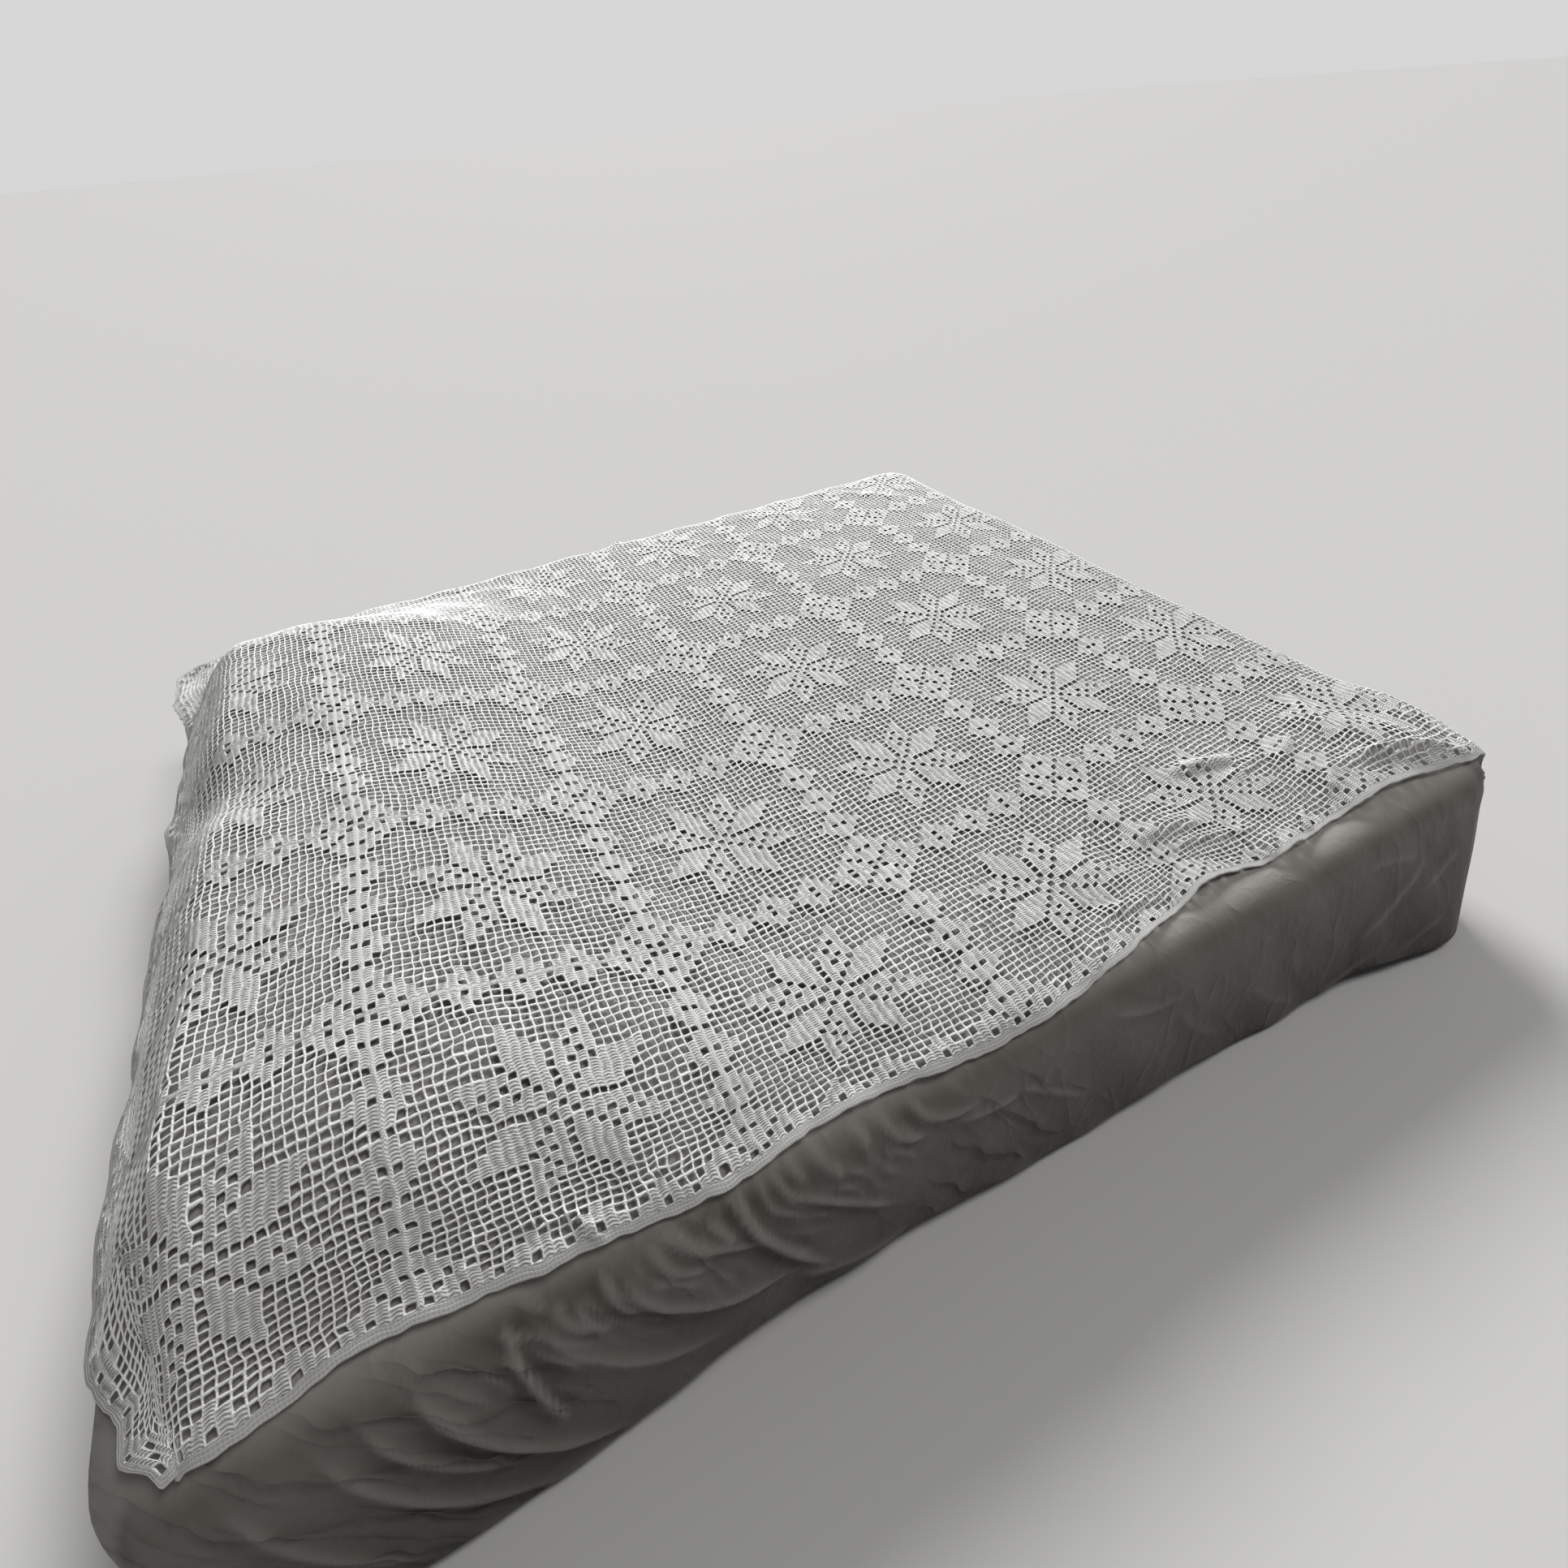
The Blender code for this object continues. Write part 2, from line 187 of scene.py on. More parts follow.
def spread_flare(x, y):
    """Angle from the vertical at which the bedspread's overhang swings out."""
    head = 0.10 + 0.50 * hump(y, -0.66, 0.12) + 0.80 * hump(y, 0.15, 0.05)
    head = head + 0.07 * np.sin(22.0 * y) + 1.00 * step(0.20, 0.80, y)
    foot = 0.10 + 0.10 * np.sin(17.0 * y + 1.0) + 0.06 * np.sin(31.0 * y)
    far = 0.10 + 0.10 * np.sin(15.0 * x + 2.0)
    near = 0.06 + 0.06 * np.sin(19.0 * x)
    flare = 0.10 + head * step(-0.80, -1.0, x) + foot * step(0.80, 1.0, x)
    flare = flare + far * step(0.70, 0.90, y) + near * step(-0.70, -0.90, y)
    return np.clip(flare, 0.05, 1.30)


def spread_laid(along, across):
    """Where each point of the flat bedspread is laid: turned a little, drawn in and uneven."""
    near_draw = 0.053 + 0.021 * hump(along, -0.78, 0.09) - 0.030 * hump(along, 0.04, 0.16)
    near_draw = near_draw - 0.018 * step(0.40, 0.52, along) - 0.012 * step(0.64, 0.74, along)
    near_draw = near_draw - 0.035 * step(0.80, 1.00, along) + 0.032 * step(-0.95, -1.12, along)
    drawn_in = near_draw * step(-0.74, -0.95, across)
    ripple = 0.004 * step(-0.70, -0.95, across) * np.sin(19.0 * along + 0.5)
    pulled = -0.026 * hump(along, 0.30, 0.60) * hump(across, -0.40, 0.45)
    head_gather = 0.022 * step(-0.45, -0.90, along) * step(-0.75, -0.35, across)
    head_gather = head_gather - 0.024 * hump(along, -0.72, 0.22) * hump(across, -0.50, 0.22)
    head_gather = head_gather + 0.035 * step(-0.90, -1.12, along) * step(0.35, 0.85, across)
    corner_pleat = 0.118 * step(-0.62, -0.83, across) + 0.032 * step(-0.88, -0.93, across)
    corner_pleat = corner_pleat * step(-0.93, -1.13, along)
    near_shift = 0.018 * hump(along, 0.30, 0.35) * hump(across, -0.85, 0.30)
    u = along + head_gather + corner_pleat + near_shift
    v = across + drawn_in + ripple + pulled
    cosine, sine = math.cos(SPREAD_TURN), math.sin(SPREAD_TURN)
    return cosine * u - sine * v, sine * u + cosine * v + SPREAD_SHIFT_Y


def flat_grid(spacing):
    """Points of the flat bedspread, a spacing apart."""
    halves = (SPREAD_HALF_LENGTH, SPREAD_HALF_WIDTH)
    return np.meshgrid(*(np.arange(-half, half + spacing / 2, spacing) for half in halves))


def draw_in(laid, height, still):
    """Positions along rows, drawn in by the length that climbing takes, but in the still column."""
    level = np.sqrt(np.clip(1 - (np.diff(height, axis=1) / SETTLE_STEP) ** 2, 0.1, 1.0))
    run = np.zeros_like(laid)
    run[:, 1:] = np.cumsum(np.diff(laid, axis=1) * level, axis=1)
    return laid[:, [still]] + run - run[:, [still]]


def settled_table():
    """Laid positions a SETTLE_STEP apart, drawn in where the cloth climbs the pillows."""
    along, across = flat_grid(SETTLE_STEP)
    laid_x, laid_y = spread_laid(along, across)
    x, y = laid_x, laid_y
    still_column = np.argmin(np.abs(along[0] - STILL_ALONG))
    still_row = np.argmin(np.abs(across[:, 0]))
    for _ in range(SETTLE_ROUNDS):
        height = rise_on_bed(x, y)
        x = draw_in(laid_x, height, still_column)
        y = draw_in(laid_y.T, height.T, still_row).T
    return x, y


def read_table(table, along, across, spacing):
    """Value between the entries of a table that covers the flat bedspread."""
    rows, columns = table.shape[:2]
    a = np.clip((along + SPREAD_HALF_LENGTH) / spacing, 0, columns - 1.001)
    b = np.clip((across + SPREAD_HALF_WIDTH) / spacing, 0, rows - 1.001)
    i, j = a.astype(int), b.astype(int)
    u, v = a - i, b - j
    if table.ndim == 3:
        u, v = u[..., None], v[..., None]
    low = table[j, i] * (1 - u) + table[j, i + 1] * u
    high = table[j + 1, i] * (1 - u) + table[j + 1, i + 1] * u
    return low * (1 - v) + high * v


# Small folds of the bedspread in the flat, in millimetres: along and across at the start and at
# the end, width, height
SPREAD_FOLDS = (
    (820, -800, 920, -620, 16, 10),
    (515, -660, 680, -725, 17, 15),
    (540, -640, 600, -600, 14, 6),
    (340, -740, 500, -790, 22, 9),
    (680, -780, 800, -730, 18, 8),
    (160, -840, 340, -900, 18, 8),
    (585, -748, 730, -735, 14, 7),
    (360, -800, 570, -865, 14, 6),
    (600, -930, 645, -865, 10, 10),
    (500, -940, 540, -870, 10, 7),
    (700, -900, 745, -840, 10, 8),
    (760, -835, 1020, -925, 10, 17),
    (-592, -868, -552, -945, 5.5, 13),
    (-640, -872, -585, -893, 6, 6),
    (50, 800, 120, 950, 14, 10),
    (-700, -930, -660, -840, 10, 7),
    (-520, -930, -460, -840, 9, 8),
    (-300, -930, -200, -840, 10, 6),
    (100, -940, 200, -850, 12, 6),
    (950, -900, 720, -840, 14, 10),
    (-980, -700, -960, -400, 16, 6),
    (450, 800, 700, 600, 20, 5),
    (700, 820, 950, 550, 22, 6),
    (150, 840, 350, 620, 18, 4),
    (-250, 300, 100, 450, 30, 3),
)


def spread_wrinkles(along, across):
    """Small folds, puffs and lifted edges of the bedspread, as heights above its smooth drape."""
    folds = np.array(SPREAD_FOLDS) / 1000
    height = sum(crease(along, across, line[:4], *line[4:]) for line in folds)
    loose = step(0.10, 0.45, along) * step(-0.45, -0.70, across)
    puff = (0.0022 + 0.0030 * loose) * (1 + smooth_noise(along, across, 0.13, 3))
    edge = np.minimum(SPREAD_HALF_LENGTH - np.abs(along), SPREAD_HALF_WIDTH - np.abs(across))
    lift = 0.0030 * (1 + smooth_noise(along, across, 0.11, 5)) * step(0.06, 0.0, edge)
    return height + np.clip(puff, 0, None) + np.clip(lift, 0, None)


def drape_tables():
    """Tables of the laid bedspread's points and normals, a DRAPE_STEP apart."""
    along, across = flat_grid(DRAPE_STEP)
    laid_x, laid_y = (read_table(table, along, across, SETTLE_STEP) for table in settled_table())
    inner_x = HALF_LENGTH + SPREAD_OUTSET - CORNER_RADIUS + foot_bulge(laid_y) * (laid_x > 0)
    inner_y = HALF_WIDTH + SPREAD_OUTSET - CORNER_RADIUS
    beyond_x = np.maximum(np.abs(laid_x) - inner_x, 0.0)
    beyond_y = np.maximum(np.abs(laid_y) - inner_y, 0.0)
    bearing = np.arctan2(beyond_y, beyond_x)
    flat = CORNER_RADIUS - SPREAD_EDGE_RADIUS
    flare = spread_flare(laid_x, laid_y)
    reach, drop = edge_reach(np.hypot(beyond_x, beyond_y), SPREAD_EDGE_RADIUS, flat, flare)
    x = np.sign(laid_x) * (np.minimum(np.abs(laid_x), inner_x) + reach * np.cos(bearing))
    y = np.sign(laid_y) * (np.minimum(np.abs(laid_y), inner_y) + reach * np.sin(bearing))
    height = rise_on_bed(x, y)
    gap = SPREAD_GAP + SPREAD_SOFT_GAP * step(0.0, 0.005, height)
    points = np.stack([x, y, MATTRESS_HEIGHT + gap + height - drop], axis=-1)
    points = points + normals_of(points) * spread_wrinkles(along, across)[..., None]
    return points, normals_of(points)


def normals_of(points):
    """Upward unit normals of a grid of points."""
    normal = np.cross(np.gradient(points, axis=1), np.gradient(points, axis=0))
    return normal / np.linalg.norm(normal, axis=-1, keepdims=True)


DRAPE = np.concatenate(drape_tables(), axis=-1)


def on_spread(along, across, height):
    """Points at a height above the laid bedspread's back."""
    point, normal = np.split(read_table(DRAPE, along, across, DRAPE_STEP), 2, axis=-1)
    return point + normal * height[..., None]


# ---- filet crochet chart


def near_sixth(n):
    return min(abs(n) % 6, 6 - abs(n) % 6)


def edge_figure(r, c):
    """Half diamonds along one pair of a square's sides, with a hole at every third cell."""
    if abs(c) == HALF_CELLS:
        return r % 3 != 0
    if abs(c) == HALF_CELLS - 1:
        return near_sixth(r) <= 1
    return abs(c) == HALF_CELLS - 2 and near_sixth(r) == 0


def petal(r, c):
    """The flower's quarter from its centre: a solid petal to one side, a dotted one above."""
    if 1 <= r <= 4 and r + 1 <= c <= r + 5:
        return True
    if 1 <= c <= 4 and c + 1 <= r <= c + 5:
        return not (c in (2, 3) and r in (c + 2, c + 4))
    return (r, c) in ((0, 1), (1, 0))


def is_solid(r, c):
    """Whether a cell of the chart is worked solid. The flower repeats at each quarter turn."""
    if edge_figure(r, c) or edge_figure(c, r):
        return True
    for _ in range(4):
        if r >= 0 and c >= 0 and petal(r, c):
            return True
        r, c = c, -r
    return False


SPAN = range(-HALF_CELLS, HALF_CELLS + 1)
CHART = np.array([[is_solid(r, c) for c in SPAN] for r in SPAN])


# ---- mesh and material helpers


def add_object(mesh, name, materials):
    mesh.shade_smooth()
    for material in materials:
        mesh.materials.append(material)
    made = bpy.data.objects.new(name, mesh)
    bpy.context.scene.collection.objects.link(made)
    return made


def object_from_builder(builder, name, material):
    mesh = bpy.data.meshes.new(name)
    builder.to_mesh(mesh)
    builder.free()
    return add_object(mesh, name, [material])


def fill(data, key, values, kind=np.float32):
    """Writes a value for each item of a mesh's data."""
    data.foreach_set(key, np.asarray(values).astype(kind).ravel())


def object_from_faces(name, points, faces, materials, tone, uv=None, kinds=None):
    """A piece from points and arrays of faces, with each point's painted shade in a point attribute."""
    sizes = np.concatenate([np.full(len(part), part.shape[1]) for part in faces])
    loops = np.concatenate([part.ravel() for part in faces])
    mesh = bpy.data.meshes.new(name)
    mesh.vertices.add(points.size // 3)
    fill(mesh.vertices, "co", points)
    mesh.loops.add(len(loops))
    fill(mesh.loops, "vertex_index", loops, np.int32)
    mesh.polygons.add(len(sizes))
    fill(mesh.polygons, "loop_start", np.cumsum(sizes) - sizes, np.int32)
    mesh.update(calc_edges=True)
    fill(mesh.attributes.new("tone", "FLOAT", "POINT").data, "value", tone)
    if uv is not None:
        fill(mesh.uv_layers.new(name="UVMap").data, "uv", uv[loops])
    if kinds is not None:
        fill(mesh.polygons, "material_index", kinds, np.int32)
    return add_object(mesh, name, materials)


class Signal:
    """A number that math nodes work out, so that a material's sums are written as sums."""

    def __init__(self, tree, socket):
        self.tree, self.socket = tree, socket

    def then(self, operation, other=None, swapped=False):
        """Goes through a math node, as its first number, or as its second one when swapped."""
        made = self.tree.nodes.new("ShaderNodeMath")
        made.operation = operation
        slots = (made.inputs[1], made.inputs[0]) if swapped else made.inputs[:2]
        for slot, value in zip(slots, (self, other)):
            if isinstance(value, Signal):
                self.tree.links.new(value.socket, slot)
            elif value is not None:
                slot.default_value = value
        return Signal(self.tree, made.outputs[0])

    __add__ = partialmethod(then, "ADD")
    __sub__ = partialmethod(then, "SUBTRACT")
    __rsub__ = partialmethod(then, "SUBTRACT", swapped=True)
    __mul__ = partialmethod(then, "MULTIPLY")
    __pow__ = partialmethod(then, "POWER")
    __abs__ = partialmethod(then, "ABSOLUTE")


class Nodes:
    """Short way to build a tree of shader nodes."""

    def __init__(self, tree):
        self.tree = tree

    def node(self, kind, **settings):
        made = self.tree.nodes.new(kind)
        for key, value in settings.items():
            if key in made.inputs:
                made.inputs[key].default_value = value
            else:
                setattr(made, key, value)
        return made

    def link(self, source, target):
        self.tree.links.new(source.socket if isinstance(source, Signal) else source, target)

    def split(self, vector):
        made = self.node("ShaderNodeSeparateXYZ")
        self.link(vector, made.inputs[0])
        return [Signal(self.tree, output) for output in made.outputs]


class Material(Nodes):
    """A material's nodes, with its plain values on the shader's own sockets."""

    def __init__(self, name, colour, roughness, sheen=0.0):
        self.material = bpy.data.materials.new(name)
        self.material.use_nodes = True
        super().__init__(self.material.node_tree)
        self.inputs = self.tree.nodes["Principled BSDF"].inputs
        self.inputs["Base Color"].default_value = (*colour, 1.0)
        self.inputs["Roughness"].default_value = roughness
        self.inputs["Sheen Weight"].default_value = sheen
        self.inputs["Sheen Roughness"].default_value = 0.6
        self.inputs["Specular IOR Level"].default_value = 0.25

    # Each point's painted shading: 1 where none is painted, lower where painted shade darkens the
    # colour.
    def tone(self):
        made = self.node("ShaderNodeAttribute", attribute_name="tone")
        return Signal(self.tree, made.outputs["Fac"])

    def mix(self, factor, first, second):
        made = self.node("ShaderNodeMix", data_type="RGBA")
        self.link(factor, made.inputs[0])
        for slot, value in ((made.inputs[6], first), (made.inputs[7], second)):
            if isinstance(value, tuple):
                slot.default_value = (*value, 1.0)
            else:
                self.link(value, slot)
        return made.outputs[2]

    def noise(self, coordinates, scale, detail, roughness=0.6):
        made = self.node("ShaderNodeTexNoise", Scale=scale, Detail=detail, Roughness=roughness)
        self.link(coordinates, made.inputs["Vector"])
        return Signal(self.tree, made.outputs["Fac"])

    def bump(self, height, strength, distance, previous=None):
        made = self.node("ShaderNodeBump", Strength=strength, Distance=distance)
        self.link(height, made.inputs["Height"])
        if previous is not None:
            self.link(previous, made.inputs["Normal"])
        return made.outputs["Normal"]

    def finish(self, colour, normal):
        self.link(colour, self.inputs["Base Color"])
        self.link(normal, self.inputs["Normal"])
        return self.material


def cotton_yarn(name, posts=3, wave=POST_WAVE, depth=1.0, floor=0.0, ridge_height=0.62, ridge_power=7.0):
    """Off-white crochet cotton. Texture coordinates count cells: a chain's ridge runs along each
    whole number of the first one, and rounded posts lie across it, so many to a cell and waved,
    with painted shade in the grooves between them, and more painted shade where each point's
    painted shading is low."""
    n = Material(name, (0.76, 0.76, 0.74), 0.85, sheen=0.15)
    coordinates = n.node("ShaderNodeTexCoord")
    place = coordinates.outputs["Object"]
    u, v, _ = n.split(coordinates.outputs["UV"])
    wander = n.noise(place, 160.0, 1.0) - 0.5
    u = u + wander * 0.16
    v = v + wander * -0.14 - (u * math.tau).then("COSINE") * wave
    post = abs((v * (posts * math.pi)).then("COSINE")) ** 1.1 * depth + floor
    chain = (v * (6 * math.pi)).then("SINE")
    ridge = ((u + chain * 0.035) * math.tau).then("COSINE")
    ridge = ((ridge + 1.0) * 0.5) ** ridge_power * (chain * 0.16 + ridge_height)
    height = (post * 0.95).then("MAXIMUM", ridge)

    patch = n.noise(place, 5.0, 4.0)
    fibre = n.noise(place, 900.0, 2.0)
    light = n.mix(patch, (0.81, 0.81, 0.795), (0.91, 0.915, 0.91))
    # Painted shade: dark fills the grooves between posts and ridges, and points with low painted
    # shading.
    dark = n.mix(patch, (0.255, 0.249, 0.232), (0.315, 0.309, 0.292))
    colour = n.mix(height**0.8 * n.tone() ** 0.5, dark, light)
    colour = n.mix(fibre * 0.22, colour, (0.62, 0.62, 0.60))
    ply = ((u * 7.0 + v * 9.0) * math.tau).then("SINE")
    normal = n.bump(height, 0.7, 0.0014)
    normal = n.bump(ply, 0.30, 0.0003, normal)
    normal = n.bump(fibre, 0.30, 0.0004, normal)
    return n.finish(colour, normal)


THREADS = 2100.0
WRINKLE = 0.45
# Colour of the painted shade on the sheet's sides, in their hollows and towards the floor.
PAINTED_SHADE_COLOUR = (0.0345, 0.0275, 0.0205)


def woven_cotton(name, dark, light, folds=False):
    """Plain woven sheeting with a fine weave and a little colour variation. With folds, it also
    has small creases, and painted shade takes it towards a dark colour where each point's
    painted shading is low."""
    n = Material(name, light, 0.88, sheen=0.12)
    place = n.node("ShaderNodeTexCoord").outputs["Object"]
    x, y, z = n.split(place)
    weave = (x * THREADS).then("SINE") + (y * THREADS).then("SINE") + (z * THREADS).then("SINE")
    normal = n.bump(weave, 0.12, 0.0002)
    colour = n.mix(n.noise(place, 4.0, 5.0), dark, light)
    colour = n.mix(n.noise(place, 700.0, 2.0) * 0.35, colour, light)
    if not folds:
        return n.finish(colour, normal)
    tone = n.tone()
    # Slanting creases in patches on the sides, more of them towards the head end
    for count, slope, size, distance in ((12.0, 0.90, 3.7, 0.013), (25.0, 0.60, 5.3, 0.0045)):
        phase = (x + y + z * slope) * count + n.noise(place, 4.0, 3.0) * 2.6
        crest = (1.0 - abs((phase * math.pi).then("SINE"))) ** 2.2
        here = (n.noise(place, size, 2.0) - 0.53 + x * -0.17) * 4.5
        here = here.then("MAXIMUM", 0.0).then("MINIMUM", 1.0) * (1.0 - tone)
        normal = n.bump(crest * here, 0.75, distance, normal)
    # Small unevenness everywhere, and fine curved lines
    normal = n.bump(n.noise(place, 26.0, 4.0, 0.55), WRINKLE, 0.006, normal)
    lean = n.node("ShaderNodeMapping", Rotation=(0.5, 0.35, 0.4), Scale=(1.0, 1.0, 0.45))
    n.link(place, lean.inputs["Vector"])
    for scale, distance in ((9.0, 0.0024), (21.0, 0.0010)):
        line = abs((n.noise(lean.outputs["Vector"], scale, 1.5) - 0.5) * 2.0)
        normal = n.bump((1.0 - line) ** 14.0, WRINKLE, distance, normal)
    # Painted shade: the colour goes to the painted shade colour where the painted shading is low.
    return n.finish(n.mix(tone, PAINTED_SHADE_COLOUR, colour), normal)


def piece(made, node):
    """Rides a piece on the bed and the CAD node that it stands for."""
    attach(made, BODY)
    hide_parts(node)
    return made


# ---- bedspread

HALF_SEAM = SEAM_CELLS / 2 * CELL
HOLE_U, HOLE_V, HOLE_CUT = 0.352, 0.335, 0.13
SLIT_U, SLITS = 0.42, (-1 / 3, 0.0, 1 / 3)
# Painted shading of stitch points: 1 on crests, and painted shade at hole edges, in slits, beside seams
# and on the back.
SHADING_CREST, SHADING_EDGE, SHADING_SLIT, SHADING_BACK, SHADING_SEAM_SIDE = 1.0, 0.76, 0.13, 0.45, 0.60
# The two materials of a strip, and how far stitches stray from their places, in cells
SOLID_KIND, MESH_KIND = 0, 1
STRAY, BOW = 0.040, 0.035
# Corners of an open cell's hole, counterclockwise from below right: signs, and which half
# size is cut short there to round the hole.
HOLE_RING = (
    (1, -1, "u"), (1, -1, "v"), (1, 1, "v"), (1, 1, "u"),
    (-1, 1, "u"), (-1, 1, "v"), (-1, -1, "v"), (-1, -1, "u"),
)


class Stitches:
    """Collects the points and faces of one piece of crochet, given in the flat."""

    def __init__(self):
        self.flat, self.heights, self.tones, self.slits = [], [], [], []
        self.faces, self.kinds = [], []
        self.count = 0

    def add(self, along, across, height, tone, slit=False):
        """Adds points and returns their numbers, in the shape that they came in."""
        along, across, height, tone = np.broadcast_arrays(along, across, height, tone)
        self.flat.append(np.stack([along.ravel(), across.ravel()], axis=-1))
        self.heights.append(height.ravel().astype(float))
        self.tones.append(tone.ravel().astype(float))
        self.slits.append(np.full(along.size, slit))
        numbers = np.arange(self.count, self.count + along.size).reshape(along.shape)
        self.count += along.size
        return numbers

    def face(self, *corners, kind=SOLID_KIND):
        """Adds faces from arrays of point numbers, one array for each corner."""
        corners = np.broadcast_arrays(*corners)
        self.faces.append(np.stack([corner.ravel() for corner in corners], axis=-1))
        self.kinds.append(np.full(corners[0].size, kind))

    def build(self, name, materials, uv=None):
        flat = np.concatenate(self.flat)
        along, across = uneven(flat[:, 0], flat[:, 1])
        points = on_spread(along, across, np.concatenate(self.heights))
        uv = cell_counts(flat) if uv is None else uv
        tones, kinds = np.concatenate(self.tones), np.concatenate(self.kinds)
        made = object_from_faces(name, points, self.faces, materials, tones, uv, kinds)
        slit = np.concatenate(self.slits)
        edges = np.empty(len(made.data.edges) * 2, dtype=np.int32)
        made.data.edges.foreach_get("vertices", edges)
        sharp = made.data.attributes.new("sharp_edge", "BOOLEAN", "EDGE")
        sharp.data.foreach_set("value", slit[edges.reshape(-1, 2)].all(axis=1))
        return made


def uneven(along, across):
    """Hand-made unevenness of the stitch lines, in the flat, the same wherever pieces meet."""
    shift_u = smooth_noise(along, across, 0.075, 11) + 0.8 * smooth_noise(along, across, 0.03, 12)
    shift_v = smooth_noise(along, across, 0.085, 13) + 0.8 * smooth_noise(along, across, 0.028, 14)
    u, v = along + 0.12 * CELL * shift_u, across + 0.12 * CELL * shift_v
    for square, cell_u, cell_v in STRETCHED:
        off_u = along - (square - SQUARES_LONG / 2) * SQUARE - HALF_SEAM - (cell_u + 0.5) * CELL
        off_v = across + SQUARES_WIDE / 2 * SQUARE - HALF_SEAM - (cell_v + 0.5) * CELL
        pull = STRETCH * np.exp(-(off_u**2 + off_v**2) / STRETCH_WIDTH**2)
        u, v = u + pull * off_u, v + pull * off_v
    return u, v


def lattice_lines(squares, only=None):
    """Stitch lines of a run of squares, with a seam's crest line between squares, or of only one
    square and the seam after it. Also, for each space between lines, the cell of the chart that
    it is, or -1 for a seam, and which lines are crests."""
    lines, cells, crests = [], [], []
    for square in range(squares) if only is None else (only,):
        start = (square - squares / 2) * SQUARE + HALF_SEAM
        lines += [start + n * CELL for n in range(CELLS + 1)]
        crests += [False] * (CELLS + 1)
        cells += list(range(CELLS))
        if square < squares - 1:
            lines.append(start + CELLS * CELL + HALF_SEAM)
            crests.append(True)
            cells += [-1, -1]
    if crests[-1]:
        lines.append(lines[-1] + HALF_SEAM)
        crests.append(False)
    return np.array(lines), np.array(cells), np.array(crests)


COLUMN_LINES, COLUMN_CELLS, COLUMN_CRESTS = lattice_lines(SQUARES_LONG)
ROW_LINES, _, ROW_CRESTS = lattice_lines(SQUARES_WIDE)


def cell_counts(flat):
    """Texture coordinates: whole numbers on the stitch lines, with each seam counted as a cell."""
    lattice = (COLUMN_LINES[~COLUMN_CRESTS], ROW_LINES[~ROW_CRESTS])
    counts = [np.interp(place, lines, range(len(lines))) for place, lines in zip(flat.T, lattice)]
    return np.stack(counts, axis=-1)


def next_to(crests):
    """Which lines lie beside a seam's crest."""
    beside = np.zeros(len(crests), dtype=bool)
    beside[1:] |= crests[:-1]
    beside[:-1] |= crests[1:]
    return beside


def build_strip(strip, materials):
    """A strip of squares: open cells are holes ringed by yarn, solid cells are posts."""
    work = Stitches()
    rows, row_cells, row_crests = lattice_lines(SQUARES_WIDE, strip)
    u, v = np.meshgrid(COLUMN_LINES, rows)
    crest = row_crests[:, None] | COLUMN_CRESTS[None, :]
    free = np.zeros(u.shape, dtype=bool)
    free[1:-1, 1:-1] = True
    free &= ~crest
    u = u + rng.normal(0, STRAY, u.shape) * CELL * free
    v = v + rng.normal(0, STRAY, v.shape) * CELL * free
    yarn = YARN_TOP * (1 + rng.uniform(-0.12, 0.12, u.shape))
    beside = next_to(row_crests)[:, None] | next_to(COLUMN_CRESTS)[None, :]
    level = np.where(crest, SEAM_TOP, np.where(beside, SEAM_SIDE, yarn))
    top = work.add(u, v, level, np.where(beside & ~crest, SHADING_SEAM_SIDE, SHADING_CREST))
    back = work.add(u, v, YARN_BACK, SHADING_BACK)
    third = np.array([1 / 3, 2 / 3])
    bow = rng.normal(0, BOW, (len(rows) - 1, u.shape[1], 1)) * CELL
    edge_u = u[:-1, :, None] * (1 - third) + u[1:, :, None] * third + bow * ~COLUMN_CRESTS[:, None]
    edge_v = v[:-1, :, None] * (1 - third) + v[1:, :, None] * third
    edge_top = np.where(COLUMN_CRESTS, SEAM_TOP, YARN_TOP * 0.90)
    edge_top = np.where(next_to(COLUMN_CRESTS), SEAM_SIDE, edge_top)
    edge_shading = np.where(next_to(COLUMN_CRESTS), SHADING_SEAM_SIDE, SHADING_CREST)
    side = work.add(edge_u, edge_v, edge_top[:, None], edge_shading[:, None])

    chart = CHART[row_cells][:, COLUMN_CELLS]
    seam = (row_cells < 0)[:, None] | (COLUMN_CELLS < 0)[None, :]
    add_plain_cells(work, top, back, side, np.nonzero(seam))
    add_solid_cells(work, top, back, side, np.nonzero(chart & ~seam), (u, v))
    add_open_cells(work, top, back, side, np.nonzero(~chart & ~seam), (u, v))
    add_rim(work, top, back, side)
    return work.build(f"bedspread_strip_{strip + 1}", materials)


def cell_corners(grid, cells):
    """Corner values of cells, counterclockwise from the lowest."""
    j, i = cells
    return grid[j, i], grid[j, i + 1], grid[j + 1, i + 1], grid[j + 1, i]


def cell_place(flat, cells, u, v):
    """Flat positions inside cells, from -0.5 to 0.5 each way."""
    places = []
    for a, b, c, d in (cell_corners(grid, cells) for grid in flat):
        low, high = a * (0.5 - u) + b * (0.5 + u), d * (0.5 - u) + c * (0.5 + u)
        places.append(low * (0.5 - v) + high * (0.5 + v))
    return places


def cell_sides(top, side, cells):
    """The points of the top on both sides of cells, each counted upwards."""
    j, i = cells
    a, b, c, d = cell_corners(top, cells)
    return (a, side[j, i, 0], side[j, i, 1], d), (b, side[j, i + 1, 0], side[j, i + 1, 1], c)


def add_plain_cells(work, top, back, side, cells):
    """Seams between squares, without slits or holes."""
    left, right = cell_sides(top, side, cells)
    for part in range(3):
        work.face(left[part], right[part], right[part + 1], left[part + 1])
    work.face(*cell_corners(back, cells)[::-1])


